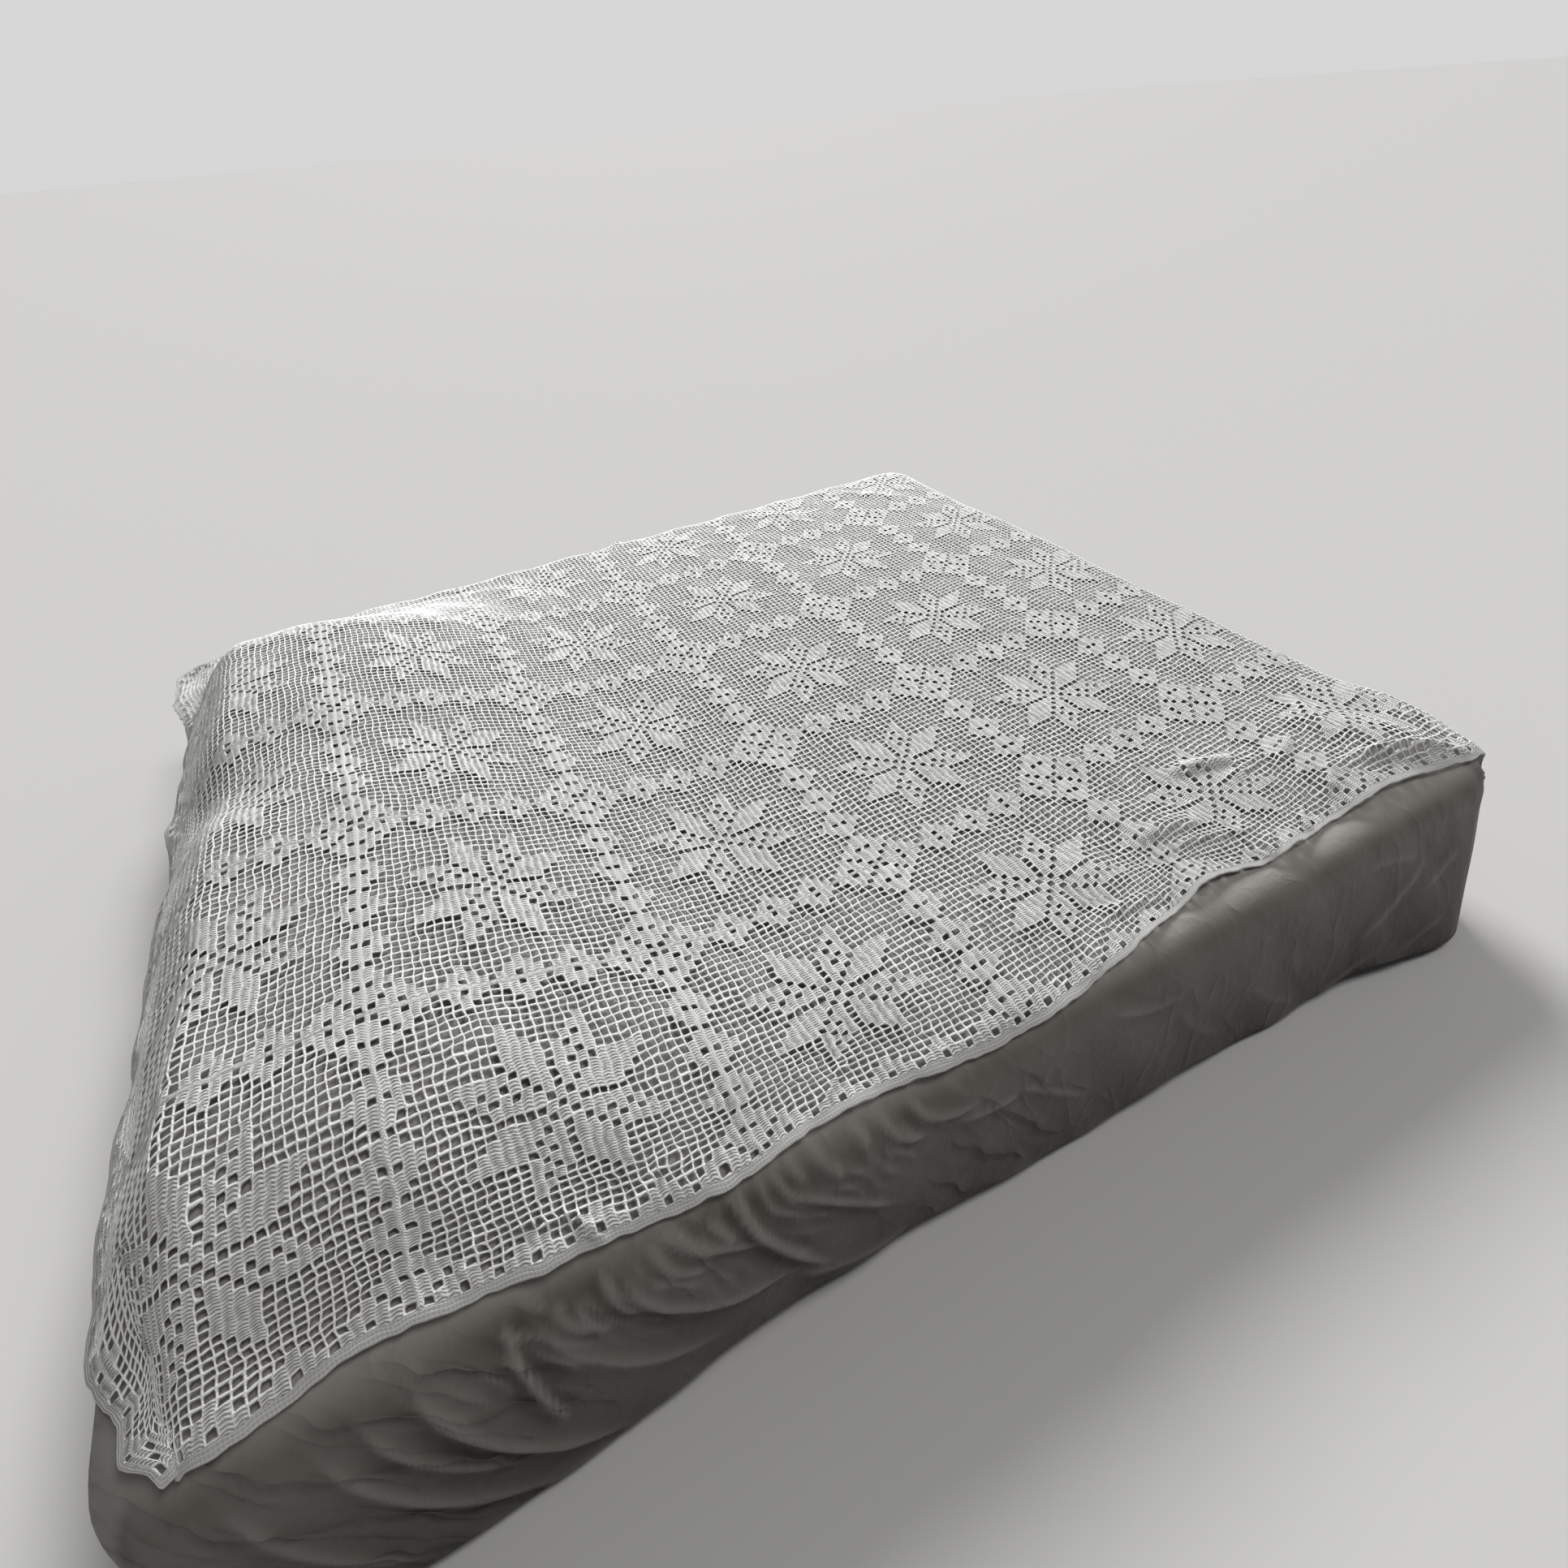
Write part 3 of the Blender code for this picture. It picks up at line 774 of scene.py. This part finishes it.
def add_solid_cells(work, top, back, side, cells, flat):
    """Two posts inside each solid cell and one on each of its ends, set off by three slits."""
    left, right = cell_sides(top, side, cells)
    count = len(cells[0])
    for part, level in enumerate(SLITS):
        groove = []
        for side_of_middle in (-1, 0, 1):
            reach = side_of_middle * SLIT_U + rng.uniform(-0.03, 0.03, count)
            lean = level + rng.uniform(-0.03, 0.03, count)
            lean = lean - POST_WAVE * np.cos(math.tau * reach)
            place = cell_place(flat, cells, reach, lean)
            groove.append(work.add(*place, SLIT_DEPTH, SHADING_SLIT, slit=True))
        near, middle, far = groove
        work.face(left[part], right[part], far, middle, near)
        work.face(right[part], right[part + 1], far)
        work.face(right[part + 1], left[part + 1], near, middle, far)
        work.face(left[part + 1], left[part], near)
    work.face(*cell_corners(back, cells)[::-1])


def add_open_cells(work, top, back, side, cells, flat):
    """Each open cell's hole, with the yarn round it sloping down to its edge."""
    count = len(cells[0])
    size_u = HOLE_U + rng.uniform(-0.035, 0.035, count)
    size_v = HOLE_V + rng.uniform(-0.045, 0.045, count)
    off_u, off_v = rng.uniform(-0.025, 0.025, (2, count))
    lean = HOLE_LEAN + rng.uniform(-0.12, 0.12, count)
    ring = []
    for sign_u, sign_v, cut in HOLE_RING:
        trim = HOLE_CUT + rng.uniform(-0.06, 0.06, count)
        reach_u = off_u + sign_u * (size_u - trim * (cut == "u"))
        reach_v = off_v + sign_v * (size_v - trim * (cut == "v"))
        reach_v = reach_v + lean * reach_u - POST_WAVE * np.cos(math.tau * reach_u)
        ring.append(work.add(*cell_place(flat, cells, reach_u, reach_v), 0.0, SHADING_EDGE))
    left, right = cell_sides(top, side, cells)
    outline = (left[0], *right, *left[:0:-1])
    inner = ring[-1:] + ring[:-1]
    for n in range(8):
        after = (n + 1) % 8
        work.face(outline[n], outline[after], inner[after], inner[n], kind=MESH_KIND)
    corners = cell_corners(back, cells)
    for n in range(4):
        after = corners[(n + 1) % 4]
        work.face(ring[2 * n - 1], ring[2 * n], after, corners[n], kind=MESH_KIND)
        work.face(ring[2 * n], ring[2 * n + 1], after, kind=MESH_KIND)


def add_rim(work, top, back, side):
    """Closes the strip's four sides."""
    work.face(back[0, :-1], back[0, 1:], top[0, 1:], top[0, :-1])
    work.face(back[-1, 1:], back[-1, :-1], top[-1, :-1], top[-1, 1:])
    work.face(back[:-1, -1], back[1:, -1], top[1:, -1], side[:, -1, 1], side[:, -1, 0], top[:-1, -1])
    work.face(back[1:, 0], back[:-1, 0], top[:-1, 0], side[:, 0, 0], side[:, 0, 1], top[1:, 0])


def corner_turns(corner, count):
    """Directions round a corner of a rectangle, of the corners in the order of CORNERS."""
    angles = math.pi / 2 * (corner - 1 + np.linspace(0, 1, count))
    return list(zip(np.cos(angles), np.sin(angles)))


def edging_path(inner_u, inner_v):
    """Places round a rectangle, half a cell apart, and at each the direction outwards."""
    path = []
    corners = np.array(CORNERS) * (inner_u, inner_v)
    for corner, (start, after) in enumerate(zip(corners, np.roll(corners, -1, axis=0))):
        turns = corner_turns(corner, 7)
        path += [(*start, *turn) for turn in turns]
        steps = int(np.abs(after - start).sum() / (CELL / 2))
        path += [(*place, *turns[-1]) for place in np.linspace(start, after, steps + 1)[1:-1]]
    return np.array(path)


def build_edging(materials):
    """Plain rounds of crochet along the bedspread's edge, rounded at the corners."""
    inner_u, inner_v = (n * SQUARE / 2 - HALF_SEAM for n in (SQUARES_LONG, SQUARES_WIDE))
    path = edging_path(inner_u, inner_v)
    place_u, place_v, out_u, out_v = path.T[:, :, None]
    lines = 2 * EDGING_ROUNDS + 1
    share = np.linspace(0, 1, lines)
    width = EDGING + HALF_SEAM - EDGING_SHORT
    reach = share * width - EDGING_LAP
    reach = reach * (1 + 0.05 * smooth_noise(place_u, place_v, 0.09, 21))
    crest = np.arange(lines) % 2 == 1
    stitch = np.where(np.arange(len(path)) % 2 == 0, 1.0, 0.92)[:, None]
    height = np.where(crest, EDGING_TOP * stitch, 0.0004)
    height[:, -1] = 0.0
    # Painted shade on the lower lines between the rounds.
    tone = np.where(crest, SHADING_CREST, SHADING_BACK) * np.ones_like(height)
    step_length = np.hypot(*(np.roll(path[:, :2], -1, axis=0) - path[:, :2]).T)
    run = np.concatenate([[0], np.cumsum(step_length)[:-1]]) / CELL
    counts = np.stack(np.broadcast_arrays(share * EDGING_ROUNDS + 0.5, run[:, None]), axis=-1)
    work = Stitches()
    u, v = place_u + reach * out_u, place_v + reach * out_v
    top = work.add(u, v, height, tone)
    ends = np.array([0, lines - 1])
    back = work.add(u[:, ends], v[:, ends], YARN_BACK, SHADING_BACK)
    after = np.roll(np.arange(len(path)), -1)
    for line in range(lines - 1):
        work.face(top[:, line], top[:, line + 1], top[after, line + 1], top[after, line])
    work.face(back[:, 1], back[:, 0], back[after, 0], back[after, 1])
    work.face(top[:, 0], top[after, 0], back[after, 0], back[:, 0])
    work.face(top[after, -1], top[:, -1], back[:, 1], back[after, 1])
    counts = np.concatenate([counts.reshape(-1, 2), counts[:, ends].reshape(-1, 2)])
    return work.build("bedspread_edging", materials, counts)


# ---- bed sheet

SHEET_FLAT = CORNER_RADIUS - SHEET_EDGE_RADIUS
SHEET_QUARTER = (SHEET_EDGE_RADIUS + SHEET_GAP) * math.pi / 2


def sheet_flare(x, y):
    """Outward swing of the sheet's hem: soft puckers, and loose corners."""
    puckers = 0.0065 + 0.003 * np.sin(9.0 * x + 1.0) + 0.003 * np.sin(11.0 * y + 2.0)
    tucked_in = -0.024 * hump(x, -0.15, 0.45) * step(-0.80, -0.88, y)
    loose_corner = 0.030 * hump(x, 0.93, 0.16) * hump(y, -0.90, 0.10)
    other_corners = 0.015 * hump(np.abs(x), 1.0, 0.15) * hump(np.abs(y), 0.9, 0.15)
    return puckers + tucked_in + loose_corner + other_corners


FOLD_SCALE = 0.70
# Folds of the sides, in millimetres: run and height at the start and at the end, how far each
# bows, how far it stands out, its widths above and below
SIDE_FOLDS = (
    (-710, 310, -540, 30, -35, 17, 42, 11),
    (-760, 300, -650, 100, -20, 9, 26, 9),
    (-800, 290, -620, 20, -35, 10, 30, 12),
    (-880, 290, -750, 30, -25, 8, 28, 12),
    (-620, 310, -590, 130, -5, 16, 5, 8),
    (-590, 300, -400, 70, -35, 9, 28, 14),
    (-570, 310, -540, 250, -5, 6, 10, 8),
    (-550, 300, -520, 230, -5, 6, 10, 7),
    (-520, 310, -490, 230, -5, 8, 11, 7),
    (-500, 300, -310, 120, -40, 14, 34, 10),
    (-470, 310, -410, 240, -5, 8, 12, 7),
    (-450, 310, -340, 220, 0, 10, 16, 8),
    (-400, 300, -370, 260, 0, 7, 10, 7),
    (-370, 310, -260, 90, -10, 13, 9, 5),
    (-360, 310, -280, 140, -10, 8, 6, 6),
    (-290, 270, -160, 120, 0, 10, 14, 8),
    (-270, 310, -230, 260, 0, 7, 12, 7),
    (-220, 310, -190, 280, 0, 6, 10, 7),
    (-180, 310, -120, 240, -5, 8, 11, 6),
    (-130, 300, -40, 250, -15, 7, 10, 6),
    (-300, 100, -130, 30, -15, 8, 30, 16),
    (-60, 230, 40, 210, -5, 6, 26, 10),
    (40, 220, 160, 110, 0, 5, 10, 8),
    (200, 260, 330, 210, -10, 6, 22, 10),
    (330, 180, 420, 70, -10, 4, 12, 10),
    (480, 140, 600, 40, -10, 5, 20, 14),
    (640, 10, 770, 60, 0, 7, 16, 12),
    (730, 100, 870, 210, -5, 8, 18, 13),
    (820, 40, 920, 80, 0, 6, 14, 10),
    (870, 150, 960, 190, 0, 7, 18, 12),
    (720, 250, 850, 220, 5, 5, 12, 8),
)


def fold_line(run, z, line, bow, height, above, below):
    """A raised fold along a line, bowed to its left, that fades at both ends and has its own
    width each side."""
    share, side, length = line_frame(run, z, *line)
    part = np.clip(share, 0.0, 1.0)
    side = side - 4 * bow * part * (1 - part)
    nearest = np.hypot(side, (share - part) * length)
    wide = below + (above - below) * step(-0.004, 0.004, side)
    fade = step(-0.10, 0.22, part) * step(1.10, 0.72, part)
    return FOLD_SCALE * height * fade * np.exp(-((nearest / (0.85 * wide)) ** 1.15))


def side_creases(run, z):
    """Folds of a hanging side: run is the place along it, z the height above the floor."""
    lines = np.array(SIDE_FOLDS) / 1000
    folds = sum(fold_line(run, z, line[:4], *line[4:]) for line in lines)
    folds = folds * (1 - 0.5 * step(0.0, 0.4, run))
    soft = 0.0022 * smooth_noise(run + 0.5 * z, z * 0.5, 0.17, 31)
    return folds + soft + pleats(run, z)


def pleats(run, z):
    """Many small sharp wrinkles that run down and to the foot end, strongest near the top."""
    total = np.zeros_like(run)
    for pitch, slope, height, seed in ((0.034, 0.80, 0.0030, 32), (0.025, 0.45, 0.0020, 33)):
        bend = 0.32 * smooth_noise(run, z, 0.16, seed) + 0.07 * smooth_noise(run, z, 0.06, seed + 7)
        phase = (run + slope * z) / pitch + bend
        sharp = (1 - np.abs(np.sin(math.pi * phase))) ** 1.5
        patchy = np.clip(0.35 + 0.8 * smooth_noise(run, z, 0.11, seed + 3), 0, 1)
        total = total + height * sharp * patchy
    bunched = 0.08 + 0.92 * step(0.02, -0.25, run) * step(-0.75, -0.62, run)
    return total * bunched * step(0.12, 0.25, z)


def corner_bearing(rank_x, rank_y):
    """Direction of a rounded corner's point from its two ranks, counted outwards from the flat."""
    larger = np.maximum(np.maximum(rank_x, rank_y), 1)
    eighth = math.pi / 4 * np.minimum(rank_x, rank_y) / larger
    return np.where(rank_x >= rank_y, eighth, math.pi / 2 - eighth)


def stands_proud(height, reach, full):
    """How far a grid's heights stand above those around them, from -1 to 1."""
    around = height
    for _ in range(reach):
        around = (around + np.roll(around, 1, 0) + np.roll(around, -1, 0)) / 3
        around = (around + np.roll(around, 1, 1) + np.roll(around, -1, 1)) / 3
    return np.clip((height - around) / full, -1, 1)


def sheet_grid():
    """Points of the sheet, outer side: a grid whose outer lines hang down the bed's sides."""

    def side(falls, turns):
        """One side's lines from the flat outwards: over the turned edge and down to the hem."""
        turned = SHEET_FLAT + SHEET_QUARTER * np.linspace(0, 1, turns)
        hanging = SHEET_FLAT + SHEET_QUARTER + np.linspace(0, 1, falls + 1)[1:]
        return np.concatenate([[0], turned, hanging])

    def stations(half, middle, low, high):
        """All lines across one way of the bed: where each starts, how far beyond its start it
        lies, and its rank, counted outwards from the flat."""
        inner = half - CORNER_RADIUS
        spots = np.linspace(-inner, inner, middle + 2)[1:-1]
        beyond = np.concatenate([-low[::-1], np.zeros(middle), high])
        rank = np.concatenate([np.arange(len(low))[::-1], np.zeros(middle, int), np.arange(len(high))])
        base = np.concatenate([np.full(len(low), -inner), spots, np.full(len(high), inner)])
        return base, beyond, rank

    long = stations(HALF_LENGTH, 400, side(22, 7), side(28, 9))
    wide = stations(HALF_WIDTH, 40, side(52, 14), side(20, 7))
    grids = (np.meshgrid(*pair) for pair in zip(long, wide))
    (base_x, base_y), (beyond_x, beyond_y), (rank_x, rank_y) = grids
    bearing = corner_bearing(rank_x, rank_y)
    beyond = np.maximum(np.abs(beyond_x), np.abs(beyond_y))
    radius = SHEET_EDGE_RADIUS + SHEET_GAP
    reach, drop = edge_reach(np.minimum(beyond, SHEET_FLAT + SHEET_QUARTER), radius, SHEET_FLAT, 0.0)
    fall = np.clip(beyond - SHEET_FLAT - SHEET_QUARTER, 0.0, 1.0)
    out_x, out_y = np.sign(base_x) * np.cos(bearing), np.sign(base_y) * np.sin(bearing)
    x, y = base_x + reach * out_x, base_y + reach * out_y
    x = x + foot_bulge(y) * step(0.72, 0.93, x) * (1 - 0.84 * fall)
    top = MATTRESS_HEIGHT + SHEET_GAP + SHEET_THICKNESS + rise_on_bed(x, y) - drop
    hem = HEM_HEIGHT + 0.008 * (1 + smooth_noise(x, y, 0.5, 41))
    z = top + (hem - top) * fall
    on_long_side = np.abs(out_y) >= np.abs(out_x)
    run = np.where(on_long_side, np.where(y < 0, x, 0.3 - x), 0.75 * y * np.sign(x) - 0.1)
    angle = np.clip((beyond - SHEET_FLAT) / radius, 0.0, math.pi / 2)
    creased = np.clip(side_creases(run, z), -0.0012, None) * step(0.15, 0.9, angle)
    swing = sheet_flare(x, y) * fall + SHEET_THICKNESS * step(0, 1, beyond / SHEET_FLAT)
    swing = swing + creased * np.sin(angle)
    ripple = 0.0006 * smooth_noise(x, y, 0.12, 43) * (fall <= 0) + creased * np.cos(angle)
    # Painted shading of the sheet: its top is left unshaded, and its sides get painted shade, with
    # painted highlights on fold crests and painted shade in the hollows, lighter near their top, darker
    # towards the floor and a little darker towards the head end of the near side.
    proud = 0.6 * stands_proud(creased, 5, 0.0010) + 0.4 * stands_proud(creased, 24, 0.0030)
    side_shading = 0.25 + 0.24 * proud + 0.085 * step(0.17, 0.29, z) - 0.14 * step(0.17, 0.02, z)
    side_shading = side_shading - 0.03 * step(-0.40, -0.75, run)
    tone = 1.0 + (side_shading - 1.0) * step(0.1, 1.0, angle)
    points = np.stack([x + swing * out_x, y + swing * out_y, z + ripple], axis=-1)
    return points, np.clip(tone, 0.0, 1.0)


def build_sheet(material):
    points, tone = sheet_grid()
    numbers = np.arange(tone.size).reshape(tone.shape)
    corners = (numbers[:-1, :-1], numbers[:-1, 1:], numbers[1:, 1:], numbers[1:, :-1])
    faces = np.stack([corner.ravel() for corner in corners], axis=-1)
    return object_from_faces("grey_bed_sheet", points, [faces], [material], tone)


# ---- pillows and mattress


def build_pillow(node, material):
    """A filled pillow under the sheet: crowned, with a pressed seam all round."""
    low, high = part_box(node)
    centre, half = (low + high) / 2, (high - low) / 2
    builder = bmesh.new()
    bmesh.ops.create_cube(builder, size=2.0)
    bmesh.ops.subdivide_edges(builder, edges=builder.edges[:], cuts=19, use_grid_fill=True)
    for vertex in builder.verts:
        x, y, z = vertex.co
        outer = (abs(x) ** 4 + abs(y) ** 4 + abs(z) ** 4) ** 0.25
        x, y, z = x / outer, y / outer, z / outer
        seam = math.exp(-((z / 0.16) ** 2))
        pucker = 1 + 0.010 * seam * math.sin(24 * math.atan2(y, x))
        place_x, place_y = centre.x + half.x * x * pucker, centre.y + half.y * y * pucker
        crown = float(rise(np.array(place_x), np.array(place_y))) - 0.008
        above = max(z, 0.0) * (crown - 0.030)
        below = min(z, 0.0) * 0.0295
        vertex.co = (place_x, place_y, MATTRESS_HEIGHT + 0.030 + above + below)
    return object_from_builder(builder, node + "_cushion", material)


def build_mattress(material):
    """Rounded block with a piped seam low down, all round."""
    low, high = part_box("mattress")
    half_x, half_y, height = high.x, high.y, high.z
    radius = CORNER_RADIUS - 0.004
    outline = [(*signs, *turn) for n, signs in enumerate(CORNERS) for turn in corner_turns(n, 9)]
    edge, pipe, slack = 0.060, 0.004, 0.0045
    profile = [(0.012, 0.0), (0.003, 0.004), (0.0, 0.012), (0.0, 0.022)]
    profile += [(-pipe * math.sin(a), 0.030 - pipe * math.cos(a)) for a in np.linspace(0.4, 2.7, 5)]
    # Below its middle the piping hardly stands out
    profile = [(max(inset, -0.0005) if level < 0.03 else inset, level) for inset, level in profile]
    profile += [(0.0, 0.04), (0.0, 0.10), (0.0, 0.17), (0.0, height - edge)]
    profile += [
        (edge * (1 - math.cos(a)), height - edge + edge * math.sin(a))
        for a in np.linspace(0, math.pi / 2, 8)[1:]
    ]
    builder = bmesh.new()
    rings = []
    for inset, level in profile:
        reach = radius - inset - slack
        ring = []
        for sign_x, sign_y, turn_x, turn_y in outline:
            x = sign_x * (half_x - radius) + reach * turn_x
            y = sign_y * (half_y - radius) + reach * turn_y
            y = y * (1 - MATTRESS_TAPER / half_y * (1 - min(level / (height - edge), 1.0)))
            ring.append(builder.verts.new((x, y, level)))
        rings.append(ring)
    for below, above in zip(rings, rings[1:]):
        for n in range(len(outline)):
            builder.faces.new((below[n - 1], below[n], above[n], above[n - 1]))
    builder.faces.new(rings[0][::-1])
    builder.faces.new(rings[-1])
    return object_from_builder(builder, "mattress_block", material)


# ---- camera, floor and light

FLOOR_TONE = 0.53
SKY_HORIZON, SKY_TOP = 0.675, 0.30
DARK_SIDE = 0.25
WINDOW_POWER, CEILING_POWER = 3.0, 1.2
PANEL_POWER, PANEL_SIZE, PANEL_PLACE = 243.0, 1.9, (1.24, 2.97, 3.08)


def build_world():
    """A studio sky: pale near the horizon, duller overhead, and dimmed behind the camera, as in a
    room that is lit from its far side."""
    world = bpy.data.worlds.new("studio")
    world.use_nodes = True
    n = Nodes(world.node_tree)
    direction = n.node("ShaderNodeTexCoord").outputs["Generated"]
    x, y, z = n.split(direction)
    ramp = n.node("ShaderNodeValToRGB")
    n.link(z, ramp.inputs[0])
    ramp.color_ramp.interpolation = "EASE"
    low, high = ramp.color_ramp.elements
    low.position, low.color = 0.14, (SKY_HORIZON, SKY_HORIZON, SKY_HORIZON, 1.0)
    high.position, high.color = 0.45, (SKY_TOP, SKY_TOP, 1.03 * SKY_TOP, 1.0)
    span = {"From Min": -0.5, "From Max": 0.6, "To Min": DARK_SIDE, "To Max": 1.0}
    dimming = n.node("ShaderNodeMapRange", interpolation_type="SMOOTHSTEP", **span)
    n.link(x * 0.45 + y * 0.89, dimming.inputs["Value"])
    dimmed = n.node("ShaderNodeVectorMath", operation="SCALE")
    n.link(ramp.outputs[0], dimmed.inputs[0])
    n.link(dimming.outputs[0], dimmed.inputs["Scale"])
    n.link(dimmed.outputs[0], world.node_tree.nodes["Background"].inputs["Color"])
    bpy.context.scene.world = world


def add_lamp(name, kind, place, towards, **settings):
    """A lamp that shines away from the direction given."""
    data = bpy.data.lights.new(name, kind)
    for key, value in settings.items():
        setattr(data, key, value)
    lamp = bpy.data.objects.new(name, data)
    lamp.location = place
    lamp.rotation_euler = towards.to_track_quat("Z", "Y").to_euler()
    bpy.context.scene.collection.objects.link(lamp)
    return lamp


def linked(receiver, state):
    """A collection that makes a lamp light only the receiver, or all but the receiver."""
    group = bpy.data.collections.new("light_" + state.lower())
    group.objects.link(receiver)
    group.collection_objects[0].light_linking.link_state = state
    return group


def build_stage():
    """Pale floor, sky and lights. The floor and the bed have a window light each: a sun keeps the
    floor even, and a panel that is near lights the bed, so that its light fades along the bed."""
    bpy.ops.mesh.primitive_plane_add(size=160, location=(0, 0, -0.001))
    floor = bpy.context.object
    floor.name = "stage_floor"
    pale = Material("stage_floor", (FLOOR_TONE, FLOOR_TONE, FLOOR_TONE), 0.95)
    floor.data.materials.append(pale.material)
    build_world()
    bpy.context.scene.view_settings.view_transform = "Standard"

    window = Vector((0.28, 0.80, 0.75))
    tint = (1.0, 0.99, 0.97)
    lamp = add_lamp(
        "window_light", "SUN", window * 3, window, angle=0.40, energy=WINDOW_POWER, color=tint
    )
    lamp.light_linking.receiver_collection = linked(floor, "INCLUDE")

    above = Vector((0.36, -0.25, 0.90))
    tint = (1.0, 0.985, 0.955)
    add_lamp("ceiling_light", "SUN", above * 3, above, angle=0.35, energy=CEILING_POWER, color=tint)

    size = dict(shape="SQUARE", size=PANEL_SIZE)
    tint = (0.975, 0.99, 1.0)
    lamp = add_lamp(
        "window_panel", "AREA", PANEL_PLACE, window, energy=PANEL_POWER, color=tint, **size
    )
    lamp.visible_camera = False
    lamp.light_linking.receiver_collection = linked(floor, "EXCLUDE")


CAMERA_PLACE = (-0.51, -1.52, 1.43)
CAMERA_HEADING, CAMERA_DIP, CAMERA_ROLL = math.radians(24.1), math.radians(24.3), math.radians(-5.0)
CAMERA_LENS, CAMERA_SHIFT = 21.1, -0.169


def build_camera():
    """A phone's wide view from the near side, turned towards the foot end and looking down."""
    data = bpy.data.cameras.new("camera")
    data.sensor_width = 36.0
    data.lens = CAMERA_LENS
    data.shift_y = CAMERA_SHIFT
    data.clip_start, data.clip_end = 0.05, 100.0
    camera = bpy.data.objects.new("camera", data)
    heading = Matrix.Rotation(-CAMERA_HEADING, 4, "Z")
    dip = Matrix.Rotation(math.pi / 2 - CAMERA_DIP, 4, "X")
    roll = Matrix.Rotation(CAMERA_ROLL, 4, "Z")
    camera.matrix_world = Matrix.Translation(CAMERA_PLACE) @ heading @ dip @ roll
    bpy.context.scene.collection.objects.link(camera)
    bpy.context.scene.camera = camera


# ---- the scene


def main():
    sheet_cloth = woven_cotton("grey_sheet_cotton", (0.270, 0.257, 0.235), (0.332, 0.318, 0.293), True)
    case_cloth = woven_cotton("pillow_case_cotton", (0.13, 0.125, 0.115), (0.17, 0.165, 0.155))
    ticking = woven_cotton("mattress_ticking", (0.24, 0.23, 0.215), (0.30, 0.29, 0.275))
    mesh_yarn = cotton_yarn("crochet_cotton_mesh", 1, 0.0, ridge_height=0.94, ridge_power=1.8)
    yarn = (cotton_yarn("crochet_cotton"), mesh_yarn)
    rounds = cotton_yarn("edging_cotton", wave=0.0, depth=0.25, floor=0.15, ridge_height=0.90)

    mattress = piece(build_mattress(ticking), "mattress")

    for node in ("pillow_near", "pillow_far"):
        pillow = piece(build_pillow(node, case_cloth), node)

    sheet = piece(build_sheet(sheet_cloth), "bed_sheet")

    edging = piece(build_edging([rounds]), "crochet_bedspread")
    for strip in range(SQUARES_WIDE):
        made = piece(build_strip(strip, yarn), "crochet_bedspread")

    build_stage()
    build_camera()

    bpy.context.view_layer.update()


main()
